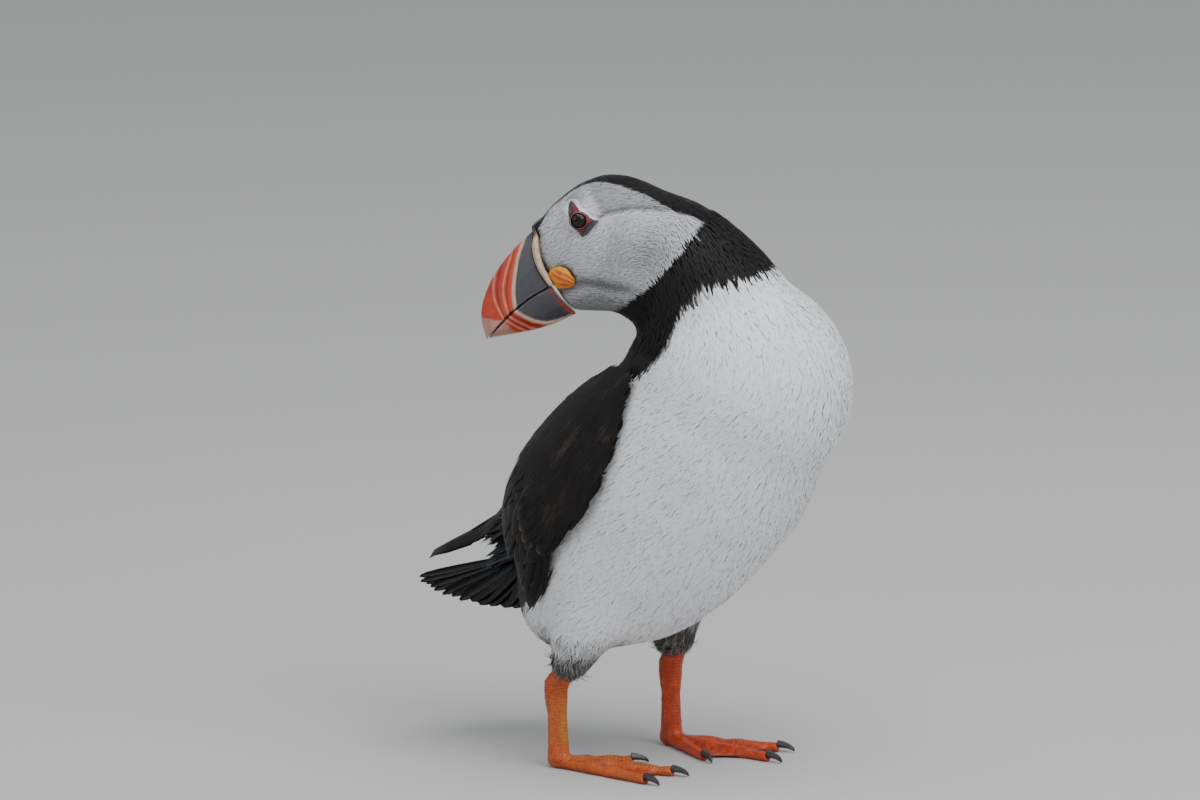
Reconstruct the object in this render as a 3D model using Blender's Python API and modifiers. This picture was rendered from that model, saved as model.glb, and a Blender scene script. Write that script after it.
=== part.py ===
"""Atlantic puffin, life size, standing on both feet with its head turned back over its right shoulder.

Metres, +Z up. The breast faces -Y and the bird's right side is at -X. Places on the bird are given as
(forward, left, up), which body_point turns into the model's axes. The trunk is a loft along a straight
axis that leans back, and the wings follow it. The head and bill are built level in the head's own axes,
then turned and tipped by head_place. The flesh is built as one smooth form and parted by thin gaps.
"""

import math

import bmesh
import bpy
from mathutils import Matrix, Vector

SIDES = {"left": 1, "right": -1}
GAP = 0.0004  # between pieces that meet

# Trunk. Its axis leans up from the tail to the breast, through AXIS_POINT (forward, up).
AXIS_LEAN = math.radians(43)
AXIS_POINT = (0.015, 0.103)
# Along the axis: distance, how far the centre lies to the belly side, back, belly and side radius.
TRUNK_SECTIONS = (
    (-0.074, 0.0085, 0.0060, 0.0080, 0.0080),
    (-0.069, 0.0075, 0.0120, 0.0145, 0.0145),
    (-0.060, 0.0055, 0.0190, 0.0220, 0.0228),
    (-0.049, 0.0030, 0.0275, 0.0320, 0.0320),
    (-0.037, 0.0010, 0.0355, 0.0415, 0.0400),
    (-0.022, 0.0010, 0.0410, 0.0460, 0.0440),
    (0.000, 0.0000, 0.0445, 0.0490, 0.0460),
    (0.020, -0.0010, 0.0440, 0.0482, 0.0465),
    (0.038, -0.0030, 0.0425, 0.0475, 0.0455),
    (0.056, -0.0080, 0.0400, 0.0445, 0.0430),
)
BREAST_CENTRE = (0.0500, 0.0, 0.1475)
BREAST_RADIUS = 0.0437

# Neck: forward, left, up and radius, from inside the breast to inside the head.
NECK_SECTIONS = (
    (0.048, 0.000, 0.1400, 0.0340),
    (0.047, 0.001, 0.1600, 0.0300),
    (0.043, -0.002, 0.1760, 0.0282),
    (0.034, -0.007, 0.1880, 0.0270),
    (0.024, -0.011, 0.1962, 0.0262),
    (0.010, -0.014, 0.2005, 0.0245),
)

# Head, in its own axes: forward along the bill, left, up, from HEAD_CENTRE on the bird.
HEAD_CENTRE = (0.002, -0.015, 0.2004)
HEAD_TURN = math.radians(152)  # to the bird's right, from straight ahead
HEAD_TIP = math.radians(30)  # bill down
# Distance forward, top, widest height, bottom, half width.
HEAD_SECTIONS = (
    (-0.0310, 0.0030, -0.0060, -0.0130, 0.0080),
    (-0.0280, 0.0105, -0.0055, -0.0190, 0.0140),
    (-0.0210, 0.0195, -0.0050, -0.0235, 0.0188),
    (-0.0120, 0.0248, -0.0040, -0.0260, 0.0212),
    (-0.0030, 0.0262, -0.0035, -0.0262, 0.0212),
    (0.0060, 0.0252, -0.0030, -0.0250, 0.0192),
    (0.0140, 0.0230, -0.0025, -0.0212, 0.0150),
    (0.0195, 0.0203, -0.0020, -0.0182, 0.0112),
    (0.0240, 0.0172, -0.0020, -0.0160, 0.0082),
)
EYE_CENTRE = (0.0024, 0.0122, 0.0165)
EYE_RADIUS = 0.0050
ROSETTE_CENTRE = (0.0195, 0.0102, -0.0004)
ROSETTE_RADII = (0.0053, 0.0024, 0.0048)
ROSETTE_SWING = math.radians(38)  # its front edge inward, with the cheek

# Bill outline in the head's axes, (forward, up), from the base to the tip.
BILL_BASE = ((0.0255, -0.0010), (0.0256, 0.0072), (0.0236, 0.0138), (0.0205, 0.0188))
CULMEN = ((0.0205, 0.0188), (0.0314, 0.0160), (0.0435, 0.0104), (0.0530, 0.0016), (0.0566, -0.0092))
GAPE_LINE = ((0.0255, -0.0010), (0.0340, -0.0012), (0.0430, -0.0029), (0.0505, -0.0056), (0.0555, -0.0079))
LOWER_EDGE = ((0.0222, -0.0170), (0.0336, -0.0157), (0.0452, -0.0122), (0.0548, -0.0084))
LOWER_BASE = ((0.0250, -0.0016), (0.0252, -0.0065), (0.0240, -0.0120), (0.0222, -0.0170))
BILL_HALF_WIDTH = 0.0092  # at the gape
BILL_EDGE_HALF_WIDTH = 0.0030  # along the culmen and the chin
RIDGE_RADIUS = 0.0017  # the raised rim round the base of the upper bill

# Wings, by distance along the trunk's axis: angle of the lower and upper edge round the trunk from the
# belly line, and how far the outer face stands from the axis at each of the two.
WING_FRONT = (
    (0.0420, 133, 141, 0.0486, 0.0488),
    (0.0340, 121, 152, 0.0480, 0.0488),
    (0.0200, 107, 160, 0.0490, 0.0492),
    (0.0000, 99, 165, 0.0498, 0.0488),
    (-0.0200, 98, 168, 0.0482, 0.0462),
)
WING_REAR = {
    "right": (
        (-0.0360, 93, 168, 0.0452, 0.0412),
        (-0.0430, 88, 150, 0.0420, 0.0378),
        (-0.0500, 82, 112, 0.0382, 0.0345),
        (-0.0580, 76, 88, 0.0318, 0.0306),
    ),
    "left": (
        (-0.0360, 112, 176, 0.0440, 0.0415),
        (-0.0500, 134, 180, 0.0385, 0.0370),
        (-0.0640, 150, 181, 0.0330, 0.0332),
        (-0.0780, 162, 181, 0.0358, 0.0364),
        (-0.0920, 178, 180, 0.0412, 0.0414),
    ),
}
WING_BULGE = 0.0014  # of the outer face between its edges
WING_ROOT_DEPTH = 0.0080  # through the trunk's surface, to be cut back to it
WING_TIP_DEPTH = 0.0014
WING_FREE = (-0.036, -0.058)  # where along the axis the wing thins to its free tip

# Tail: feathers fanned from a root inside the rump, in a plane whose right side is the higher.
TAIL_ROOT = (-0.0302, 0.0, 0.0785)
TAIL_LENGTH = 0.056
TAIL_COVERED = 0.014  # of the length, inside the rump
TAIL_DROP = math.radians(25)  # of the tail's plane, below level along the body
TAIL_ROLL = math.radians(35)
TAIL_SWING = math.radians(22)  # of the middle feather within that plane, towards the left
TAIL_HALF_SPREAD = math.radians(39)
TAIL_FEATHERS = 16
TAIL_NOTCH = 0.0022  # between two feather tips
TAIL_THICKNESS = 0.0014
TAIL_ARCH = 0.004  # how far the middle stands above the edges
TAIL_ROUNDING = 0.07  # share of the length that the outer feathers lack

# Legs: (forward, left, up) of the thigh's top, its lower end, the ankle and the heel, on the right.
# The left leg stands ahead of it.
LEG = {
    "hip": (0.006, -0.024, 0.072),
    "shin": (-0.0108, -0.0250, 0.037),
    "ankle": (-0.0137, -0.0252, 0.030),
    "heel": (-0.0125, -0.0250, 0.004),
}
LEFT_LEG_AHEAD = {"hip": 0.006, "shin": 0.0235, "ankle": 0.0245, "heel": 0.0238}
THIGH_RADII = (0.0165, 0.0150, 0.0108, 0.0066)
TARSUS_DEPTH = 0.0086  # front to back
TARSUS_WIDTH = 0.0060
TARSUS_SWELL = (0.92, 1.0, 1.12, 1.08, 0.90, 0.96, 1.10)  # from its top to the heel
SHANK_TOP_DEPTH = 0.005  # within the thigh
ANKLE_SWELLING = (0.002, 0.003)  # how far the thick joint reaches above and below the ankle
HEEL_HEIGHT = 0.0034
HEEL_RADII = (0.0040, 0.0050, 0.0042)
THIGH_NODE_TOP = 0.062
ANKLE_CUT = 0.0085  # height at which the foot's node meets the tarsus

# Toes: angle outwards from the foot's heading, length, radius at the root and at the claw.
FOOT_HEADING = {"right": math.radians(4), "left": math.radians(-8)}  # towards the left
TOES = {
    "inner": (math.radians(-31), 0.0285, 0.0027, 0.0020),
    "middle": (math.radians(-3), 0.0455, 0.0030, 0.0021),
    "outer": (math.radians(18), 0.0425, 0.0027, 0.0020),
}
TOE_SINK = 0.20  # share of a toe's radius that is flat underneath
KNUCKLE_SWELL = 0.10
WEB_THICKNESS = 0.0013
WEB_HEIGHT = 0.0013  # of its middle above the floor
WEB_HOLLOW = 0.16  # of its front edge
CLAW_LENGTH = 0.0080
CLAW_RADIUS = 0.0013
CLAW_BEND = math.radians(80)
CLAW_REACH = 0.85  # of its length, ahead of the toe
CLAW_DROP = 0.36  # of its length
CLAW_HEIGHT = 0.0030  # of its root above the floor
CLAW_ROOT_DEPTH = 0.0008  # within the toe
CLAW_BLUNTNESS = 0.00028  # radius of its point

# Where the parts of the flesh meet: a point on the plane (forward, left, up), and its facing.
HEAD_CUT = ((0.0258, -0.010, 0.199), (0.767, 0.217, -0.603))
NECK_CUT = ((0.0362, -0.003, 0.1742), (0.627, 0.112, -0.770))

# How finely the flesh and the feet are merged, how many rounds they are smoothed, and what they keep.
FLESH_VOXEL = 0.0032
FLESH_SOFTENING = 7
FLESH_TRIANGLES = 2300
FOOT_VOXEL = 0.0009
FOOT_SOFTENING = 2
FOOT_TRIANGLES = 470


def body_point(forward, left, up):
    """A place on the bird in the model's axes."""
    return Vector((left, -forward, up))


def leg_point(side, joint):
    forward, left, up = LEG[joint]
    if side == "left":
        return body_point(forward + LEFT_LEG_AHEAD[joint], -left, up)
    return body_point(forward, left, up)


def axis_point(distance, belly, left):
    """A place given by its distance along the trunk's axis, towards the belly and towards the left."""
    forward = AXIS_POINT[0] + distance * math.cos(AXIS_LEAN) + belly * math.sin(AXIS_LEAN)
    up = AXIS_POINT[1] + distance * math.sin(AXIS_LEAN) - belly * math.cos(AXIS_LEAN)
    return body_point(forward, left, up)


def head_place():
    """From the head's own axes (forward, left, up) to the model's."""
    turn = Matrix.Rotation(-math.pi / 2 - HEAD_TURN, 4, "Z")
    tip = Matrix.Rotation(HEAD_TIP, 4, "Y")
    return Matrix.Translation(body_point(*HEAD_CENTRE)) @ turn @ tip


def tail_place():
    """From the tail's axes (along the middle feather, towards the bird's right, up) to the model's."""
    back = body_point(-math.cos(TAIL_DROP), 0.0, -math.sin(TAIL_DROP))
    right = body_point(0.0, -1.0, 0.0)
    basis = Matrix((back, right, back.cross(right))).transposed().to_4x4()
    turns = Matrix.Rotation(TAIL_ROLL, 4, "X") @ Matrix.Rotation(-TAIL_SWING, 4, "Z")
    return Matrix.Translation(body_point(*TAIL_ROOT)) @ basis @ turns


def row_at(table, x):
    """The values of a table of rows (x, values...) at x, smoothly between its rows."""
    rows = sorted(table)
    x = min(max(x, rows[0][0]), rows[-1][0])
    k = max(i for i in range(len(rows) - 1) if rows[i][0] <= x)
    a, b = rows[k], rows[k + 1]
    before = rows[max(k - 1, 0)]
    after = rows[min(k + 2, len(rows) - 1)]
    step = b[0] - a[0]
    t = (x - a[0]) / step
    values = []
    for i in range(1, len(a)):
        slope_a = (b[i] - before[i]) / (b[0] - before[0]) * step
        slope_b = (after[i] - a[i]) / (after[0] - a[0]) * step
        start = (2 * t**3 - 3 * t**2 + 1) * a[i] + (t**3 - 2 * t**2 + t) * slope_a
        end = (3 * t**2 - 2 * t**3) * b[i] + (t**3 - t**2) * slope_b
        values.append(start + end)
    return values


def curve_point(points, t):
    """The place at t, from 0 to 1, on a smooth curve through the points."""
    last = len(points) - 1
    return Vector(row_at([(i / last, *point) for i, point in enumerate(points)], t))


def object_of(name, mesh):
    """A bmesh as an object of triangles, kept with the cutters until it is finished."""
    bmesh.ops.triangulate(mesh, faces=mesh.faces)
    data = bpy.data.meshes.new(name)
    mesh.to_mesh(data)
    mesh.free()
    made = bpy.data.objects.new(name, data)
    WORKSHOP.objects.link(made)
    return made


def modifier(obj, name, kind, **settings):
    made = obj.modifiers.new(name, kind)
    for key, value in settings.items():
        setattr(made, key, value)


def evaluated_mesh(obj):
    bpy.context.view_layer.update()
    graph = bpy.context.evaluated_depsgraph_get()
    return bpy.data.meshes.new_from_object(obj.evaluated_get(graph), depsgraph=graph)


def baked(obj):
    """The object with its modifiers made part of its mesh, in triangles."""
    mesh = bmesh.new()
    mesh.from_mesh(evaluated_mesh(obj))
    bmesh.ops.triangulate(mesh, faces=mesh.faces)
    obj.modifiers.clear()
    mesh.to_mesh(obj.data)
    mesh.free()
    return obj


def loft(name, rings):
    """A closed mesh through rings of equal count, with flat ends."""
    mesh = bmesh.new()
    made = [[mesh.verts.new(place) for place in ring] for ring in rings]
    count = len(made[0])
    for low, high in zip(made, made[1:]):
        for i in range(count):
            j = (i + 1) % count
            mesh.faces.new((low[i], low[j], high[j], high[i]))
    mesh.faces.new(reversed(made[0]))
    mesh.faces.new(made[-1])
    bmesh.ops.recalc_face_normals(mesh, faces=mesh.faces)
    return object_of(name, mesh)


def tube(name, places, radii, sides=8):
    """A round tube through places, with a radius at each and closed ends."""
    curve = bpy.data.curves.new(name, "CURVE")
    curve.dimensions = "3D"
    curve.bevel_depth = 1.0
    curve.bevel_resolution = sides // 2 - 2
    curve.use_fill_caps = True
    spline = curve.splines.new("POLY")
    spline.points.add(len(places) - 1)
    for point, place, radius in zip(spline.points, places, radii):
        point.co = (*place, 1.0)
        point.radius = radius
    guide = bpy.data.objects.new(name, curve)
    WORKSHOP.objects.link(guide)
    mesh = bmesh.new()
    mesh.from_mesh(evaluated_mesh(guide))
    bpy.data.objects.remove(guide)
    bmesh.ops.remove_doubles(mesh, verts=mesh.verts, dist=0.00001)
    bmesh.ops.recalc_face_normals(mesh, faces=mesh.faces)
    return object_of(name, mesh)


def ball(name, centre, radii, segments=14):
    """An ellipsoid with its place in its mesh."""
    mesh = bmesh.new()
    bmesh.ops.create_uvsphere(mesh, u_segments=segments, v_segments=segments // 2 + 1, radius=1.0)
    mesh.transform(Matrix.Translation(centre) @ Matrix.Diagonal((*radii, 1.0)))
    return object_of(name, mesh)


def half_space(name, point, facing):
    """A large block that fills the side of a plane that its facing points to."""
    size = 0.4
    way = facing.normalized()
    mesh = bmesh.new()
    bmesh.ops.create_cube(mesh, size=size)
    turn = way.to_track_quat("Z", "Y").to_matrix().to_4x4()
    mesh.transform(Matrix.Translation(point + way * size / 2) @ turn)
    return object_of(name, mesh)


def sheet(name, columns, rows, place, **solid):
    """A grid of points, each placed by place(u, v) with u and v from 0 to 1, made solid."""
    mesh = bmesh.new()
    bmesh.ops.create_grid(mesh, x_segments=columns, y_segments=rows, size=0.5)
    for vertex in mesh.verts:
        vertex.co = place(vertex.co.x + 0.5, vertex.co.y + 0.5)
    made = object_of(name, mesh)
    modifier(made, "Thicken", "SOLIDIFY", use_even_offset=False, **solid)
    return made


def joined(name, pieces):
    """The pieces' meshes in one object. Those that overlap are merged later."""
    mesh = bmesh.new()
    for piece in pieces:
        mesh.from_mesh(piece.data)
        bpy.data.objects.remove(piece)
    return object_of(name, mesh)


def one_body(obj, voxel, softening, triangles):
    """Overlapping shapes made one smooth closed body of about that many triangles."""
    modifier(obj, "Merge", "REMESH", mode="VOXEL", voxel_size=voxel)
    modifier(obj, "Soften", "SMOOTH", factor=0.5, iterations=softening)
    baked(obj)
    faces = sum(len(polygon.vertices) - 2 for polygon in obj.data.polygons)
    modifier(obj, "Thin", "DECIMATE", ratio=min(triangles / faces, 1.0))
    return baked(obj)


def grown(obj, amount=GAP):
    """A copy that is larger by the amount all over, for cutting its neighbours clear of it."""
    mesh = bmesh.new()
    mesh.from_mesh(obj.data)
    mesh.normal_update()
    places = [(vertex, vertex.co + vertex.normal * amount) for vertex in mesh.verts]
    for vertex, place in places:
        vertex.co = place
    return object_of("clear_" + obj.name, mesh)


def cut(obj, *cutters, operation="DIFFERENCE"):
    for cutter in cutters:
        modifier(obj, "Cut " + cutter.name, "BOOLEAN", object=cutter, operation=operation, solver="EXACT")
    return baked(obj)


def copy_of(obj, name):
    mesh = bmesh.new()
    mesh.from_mesh(obj.data)
    return object_of(name, mesh)


def finished(obj, name, finish):
    """The object as a part of the bird."""
    obj.name = name
    obj.data.name = name
    obj.data.materials.clear()
    obj.data.materials.append(finish)
    obj.data.shade_smooth()
    WORKSHOP.objects.unlink(obj)
    PUFFIN.objects.link(obj)
    return obj


def material(name, colour, roughness, metallic=0.0):
    made = bpy.data.materials.new(name)
    made.use_nodes = True
    shader = made.node_tree.nodes["Principled BSDF"]
    shader.inputs["Base Color"].default_value = (*colour, 1.0)
    shader.inputs["Roughness"].default_value = roughness
    shader.inputs["Metallic"].default_value = metallic
    return made


def section_ring(count, centre_to_high, centre_to_low, half_width):
    """Offsets (up, across) round an egg-shaped section, from its top."""
    for i in range(count):
        angle = 2 * math.pi * i / count
        reach = centre_to_high if math.cos(angle) > 0 else centre_to_low
        yield reach * math.cos(angle), half_width * math.sin(angle)


def trunk_form(count=24, rings=18):
    first, last = TRUNK_SECTIONS[0][0], TRUNK_SECTIONS[-1][0]
    made = []
    for k in range(rings + 1):
        distance = first + (last - first) * k / rings
        centre, back, belly, side = row_at(TRUNK_SECTIONS, distance)
        ring = section_ring(count, belly, back, side)
        made.append([axis_point(distance, centre + depth, across) for depth, across in ring])
    return loft("trunk_form", made)


def neck_form(steps=10):
    sections = [curve_point(NECK_SECTIONS, k / steps) for k in range(steps + 1)]
    places = [body_point(*section[:3]) for section in sections]
    return tube("neck_form", places, [section[3] for section in sections], sides=20)


def head_form(count=24, rings=14):
    first, last = HEAD_SECTIONS[0][0], HEAD_SECTIONS[-1][0]
    made = []
    for k in range(rings + 1):
        forward = first + (last - first) * k / rings
        top, widest, bottom, half = row_at(HEAD_SECTIONS, forward)
        ring = section_ring(count, top - widest, widest - bottom, half)
        made.append([Vector((forward, across, widest + up)) for up, across in ring])
    form = loft("head_form", made)
    form.data.transform(head_place())
    return form


def thigh_form(side):
    hip, shin = leg_point(side, "hip"), leg_point(side, "shin")
    last = len(THIGH_RADII) - 1
    places = [hip.lerp(shin, i / last) for i in range(last + 1)]
    return tube("thigh_form_" + side, places, THIGH_RADII, sides=14)


def bill_half_width(v):
    """Half the bill's width at its base, from the gape (0) to its outer edge (1)."""
    return BILL_HALF_WIDTH + (BILL_EDGE_HALF_WIDTH - BILL_HALF_WIDTH) * v**1.25


def mandible(name, base, edge, gape, steps=12, across=5):
    """Half of the bill, between the gape line and its outer edge, lofted from its base to its tip."""
    rings = []
    for i in range(steps + 1):
        u = i / steps
        narrowing = 0.14 + 0.86 * (1 - u**1.7) ** 0.75
        low, high = curve_point(gape, u), curve_point(edge, u)
        inset = (low - high).normalized() * min(0.0012, 0.25 * (low - high).length)
        left, right = [], []
        for j in range(across + 1):
            v = j / across
            straight = low.lerp(high + inset, v)
            curved_base = curve_point(base, v) - curve_point(gape, 0.0).lerp(curve_point(edge, 0.0), v)
            place = straight + curved_base * (1 - u) ** 2
            half = bill_half_width(v) * narrowing
            left.append(Vector((place.x, half, place.y)))
            right.append(Vector((place.x, -half, place.y)))
        rings.append(left + [Vector((high.x, 0.0, high.y))] + right[::-1])
    form = loft(name, rings)
    form.data.transform(head_place())
    return form


def ridge_form(steps=16):
    """The raised rim that runs from one corner of the mouth over the bill's base to the other."""
    path, radii = [], []
    for k in range(steps + 1):
        turn = 2 * k / steps - 1
        v = 1 - abs(turn)
        place = curve_point(BILL_BASE, v)
        rounding = math.sin(min(abs(turn) / 0.16, 1.0) * math.pi / 2)
        across = math.copysign((bill_half_width(v) + 0.0006) * rounding, turn)
        path.append(Vector((place.x - 0.0012, across, place.y + 0.0012 * (1 - rounding))))
        radii.append(RIDGE_RADIUS * (0.6 + 0.4 * abs(math.sin(math.pi * k / steps)) ** 0.6))
    form = tube("ridge_form", path, radii, sides=6)
    form.data.transform(head_place())
    return form


def rosette_form(side):
    """The fleshy pad at the corner of the mouth."""
    sign = SIDES[side]
    pad = ball("rosette_form_" + side, Vector((0, 0, 0)), ROSETTE_RADII, 12)
    forward, across, up = ROSETTE_CENTRE
    swing = Matrix.Rotation(-sign * ROSETTE_SWING, 4, "Z")
    pad.data.transform(head_place() @ Matrix.Translation((forward, sign * across, up)) @ swing)
    return pad


def eye_form(side):
    forward, across, up = EYE_CENTRE
    centre = head_place() @ Vector((forward, SIDES[side] * across, up))
    return ball("eye_form_" + side, centre, (EYE_RADIUS,) * 3, 12)


def wing_form(side):
    """The folded wing: a sheet round the trunk's side, deep where it lies on the trunk."""
    table = WING_FRONT + WING_REAR[side]
    first, last = table[0][0], table[-1][0]

    def place(u, v):
        distance = first + (last - first) * u
        low, high, low_reach, high_reach = row_at(table, distance)
        angle = math.radians(low + (high - low) * v)
        bulge = WING_BULGE * math.sin(math.pi * v) * (1 - u**4)
        reach = low_reach + (high_reach - low_reach) * v + bulge
        return axis_point(distance, reach * math.cos(angle), SIDES[side] * reach * math.sin(angle))

    made = sheet(
        "wing_form_" + side, 13, 7, place,
        thickness=WING_ROOT_DEPTH, offset=-SIDES[side], vertex_group="depth",
        thickness_vertex_group=WING_TIP_DEPTH / WING_ROOT_DEPTH,
    )
    depth = made.vertex_groups.new(name="depth")
    start, end = WING_FREE
    forward_axis = axis_point(1.0, 0.0, 0.0) - axis_point(0.0, 0.0, 0.0)
    for vertex in made.data.vertices:
        distance = (vertex.co - axis_point(0.0, 0.0, 0.0)).dot(forward_axis)
        weight = min(max((distance - end) / (start - end), 0.0), 1.0)
        depth.add([vertex.index], weight, "REPLACE")
    return baked(made)


def tail_form(points_per_feather=2):
    """A fan with a notched rim, arched across."""

    def place(u, v):
        across = 2 * v - 1
        angle = across * TAIL_HALF_SPREAD
        feather_share = v * TAIL_FEATHERS % 1.0
        notch = TAIL_NOTCH * abs(2 * feather_share - 1)
        length = TAIL_LENGTH * (1 - TAIL_ROUNDING * across**2) - notch * u
        reach = TAIL_COVERED + (length - TAIL_COVERED) * u
        arch = TAIL_ARCH * (1 - across**2) * (0.4 + 0.6 * u)
        return Vector((reach * math.cos(angle), reach * math.sin(angle), arch))

    form = sheet(
        "tail_form", 4, TAIL_FEATHERS * points_per_feather, place, thickness=TAIL_THICKNESS, offset=0.0
    )
    baked(form)
    form.data.transform(tail_place())
    return form


def shank_form(side, name):
    """The whole shank, from inside the thigh to the heel."""
    shin, ankle, heel = (leg_point(side, joint) for joint in ("shin", "ankle", "heel"))
    up = Vector((0.0, 0.0, 1.0))
    places = [
        shin + up * SHANK_TOP_DEPTH,
        shin,
        ankle + up * ANKLE_SWELLING[0],
        ankle - up * ANKLE_SWELLING[1],
        ankle.lerp(heel, 0.38),
        ankle.lerp(heel, 0.72),
        heel,
    ]
    form = tube(name, places, [TARSUS_DEPTH / 2 * swell for swell in TARSUS_SWELL], sides=10)
    centre = Matrix.Translation(heel)
    narrowing = Matrix.Diagonal((TARSUS_WIDTH / TARSUS_DEPTH, 1.0, 1.0, 1.0))
    form.data.transform(centre @ narrowing @ centre.inverted())
    return form


def toe_line(side, toe):
    """Start and end of a toe, on the floor, and the way that it points."""
    spread, length, *_ = TOES[toe]
    angle = SIDES[side] * spread + FOOT_HEADING[side]
    way = body_point(math.cos(angle), math.sin(angle), 0.0)
    root = leg_point(side, "heel")
    root.z = 0.0
    return root, root + way * length, way


def toe_form(side, toe, steps=8):
    _, _, root_radius, end_radius = TOES[toe]
    root, end, _ = toe_line(side, toe)
    places, radii = [], []
    for k in range(steps + 1):
        t = k / steps
        radius = root_radius + (end_radius - root_radius) * t
        radius *= 1 + KNUCKLE_SWELL * math.cos(6 * math.pi * t)
        radii.append(radius)
        places.append(root.lerp(end, t) + Vector((0, 0, radius * (1 - TOE_SINK))))
    return tube(f"toe_form_{toe}_{side}", places, radii, sides=10)


def web_form(side, first, second):
    """The skin between two toes, with a hollow front edge."""
    root, first_end, _ = toe_line(side, first)
    _, second_end, _ = toe_line(side, second)

    def place(u, v):
        along = 0.06 + 0.88 * u
        rim = root.lerp(first_end, along).lerp(root.lerp(second_end, along), v)
        hollow = WEB_HOLLOW * along**3 * math.sin(math.pi * v)
        return rim.lerp(root, hollow) + Vector((0, 0, WEB_HEIGHT))

    form = sheet(f"web_form_{first}_{second}_{side}", 6, 4, place, thickness=WEB_THICKNESS, offset=0.0)
    baked(form)
    mesh = bmesh.new()
    mesh.from_mesh(form.data)
    bmesh.ops.recalc_face_normals(mesh, faces=mesh.faces)
    mesh.to_mesh(form.data)
    mesh.free()
    return form


def foot_form(side):
    """Three toes joined by a web, with the heel, flat underneath."""
    pieces = [toe_form(side, toe) for toe in TOES]
    pieces += [web_form(side, "inner", "middle"), web_form(side, "middle", "outer")]
    heel = leg_point(side, "heel")
    pieces.append(ball("heel_" + side, Vector((heel.x, heel.y, HEEL_HEIGHT)), HEEL_RADII))
    pieces.append(shank_form(side, "shank_" + side))
    form = one_body(joined("foot_form_" + side, pieces), FOOT_VOXEL, FOOT_SOFTENING, FOOT_TRIANGLES)
    below = half_space("floor_" + side, Vector((0, 0, 0)), Vector((0, 0, -1)))
    above = half_space("shank_top_" + side, Vector((0, 0, ANKLE_CUT - GAP / 2)), Vector((0, 0, 1)))
    return cut(form, below, above)


def claw_form(side, toe, steps=5):
    """A hooked claw that leaves the toe's end and curves down to the floor."""
    _, end, way = toe_line(side, toe)
    places, radii = [], []
    for k in range(steps + 1):
        t = k / steps
        reach = math.sin(CLAW_BEND * t) * CLAW_LENGTH * CLAW_REACH
        drop = (1 - math.cos(CLAW_BEND * t)) * CLAW_LENGTH * CLAW_DROP
        places.append(end + way * (reach - CLAW_ROOT_DEPTH) + Vector((0, 0, CLAW_HEIGHT - drop)))
        radii.append(CLAW_RADIUS * (1 - t) ** 0.75 + CLAW_BLUNTNESS)
    return tube(f"claw_form_{toe}_{side}", places, radii, sides=6)


def build_head_fittings(finish):
    """Bill, rosettes and eyes. Gives back what the head is cut clear of."""
    upper = mandible("upper", BILL_BASE, CULMEN, GAPE_LINE)
    drop = Vector((0.0, -GAP))
    lower_gape = [Vector(point) + drop for point in GAPE_LINE]
    lower = mandible("lower", LOWER_BASE, LOWER_EDGE, lower_gape)
    ridge = ridge_form()
    rosettes = {side: rosette_form(side) for side in SIDES}
    eyes = {side: eye_form(side) for side in SIDES}
    pads = [grown(rosette) for rosette in rosettes.values()]
    clear_ridge = grown(ridge)
    cut(upper, clear_ridge, *pads)
    cut(lower, clear_ridge, *pads)
    cut(ridge, *pads)
    cutters = [clear_ridge, *pads, grown(upper), grown(lower), *(grown(eye) for eye in eyes.values())]
    finished(upper, "bill_upper", finish["bill"])
    finished(lower, "bill_lower", finish["bill"])
    finished(ridge, "bill_ridge", finish["ridge"])
    for side in SIDES:
        finished(rosettes[side], "rosette_" + side, finish["rosette"])
        finished(eyes[side], "eye_" + side, finish["eye"])
    return cutters


def build_legs(finish):
    """Shanks, feet and claws. Gives back the shanks, which the thighs are cut clear of."""
    shanks = []
    for side in SIDES:
        foot = foot_form(side)
        for toe in TOES:
            claw = claw_form(side, toe)
            cut(foot, grown(claw))
            finished(claw, f"claw_{toe}_{side}", finish["claw"])
        finished(foot, "foot_" + side, finish["leg"])
        shank = shank_form(side, "shank_form_" + side)
        below = half_space("foot_top_" + side, Vector((0, 0, ANKLE_CUT + GAP / 2)), Vector((0, 0, -1)))
        cut(shank, below)
        shanks.append(grown(shank))
        finished(shank, "tarsus_" + side, finish["leg"])
    return shanks


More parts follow.
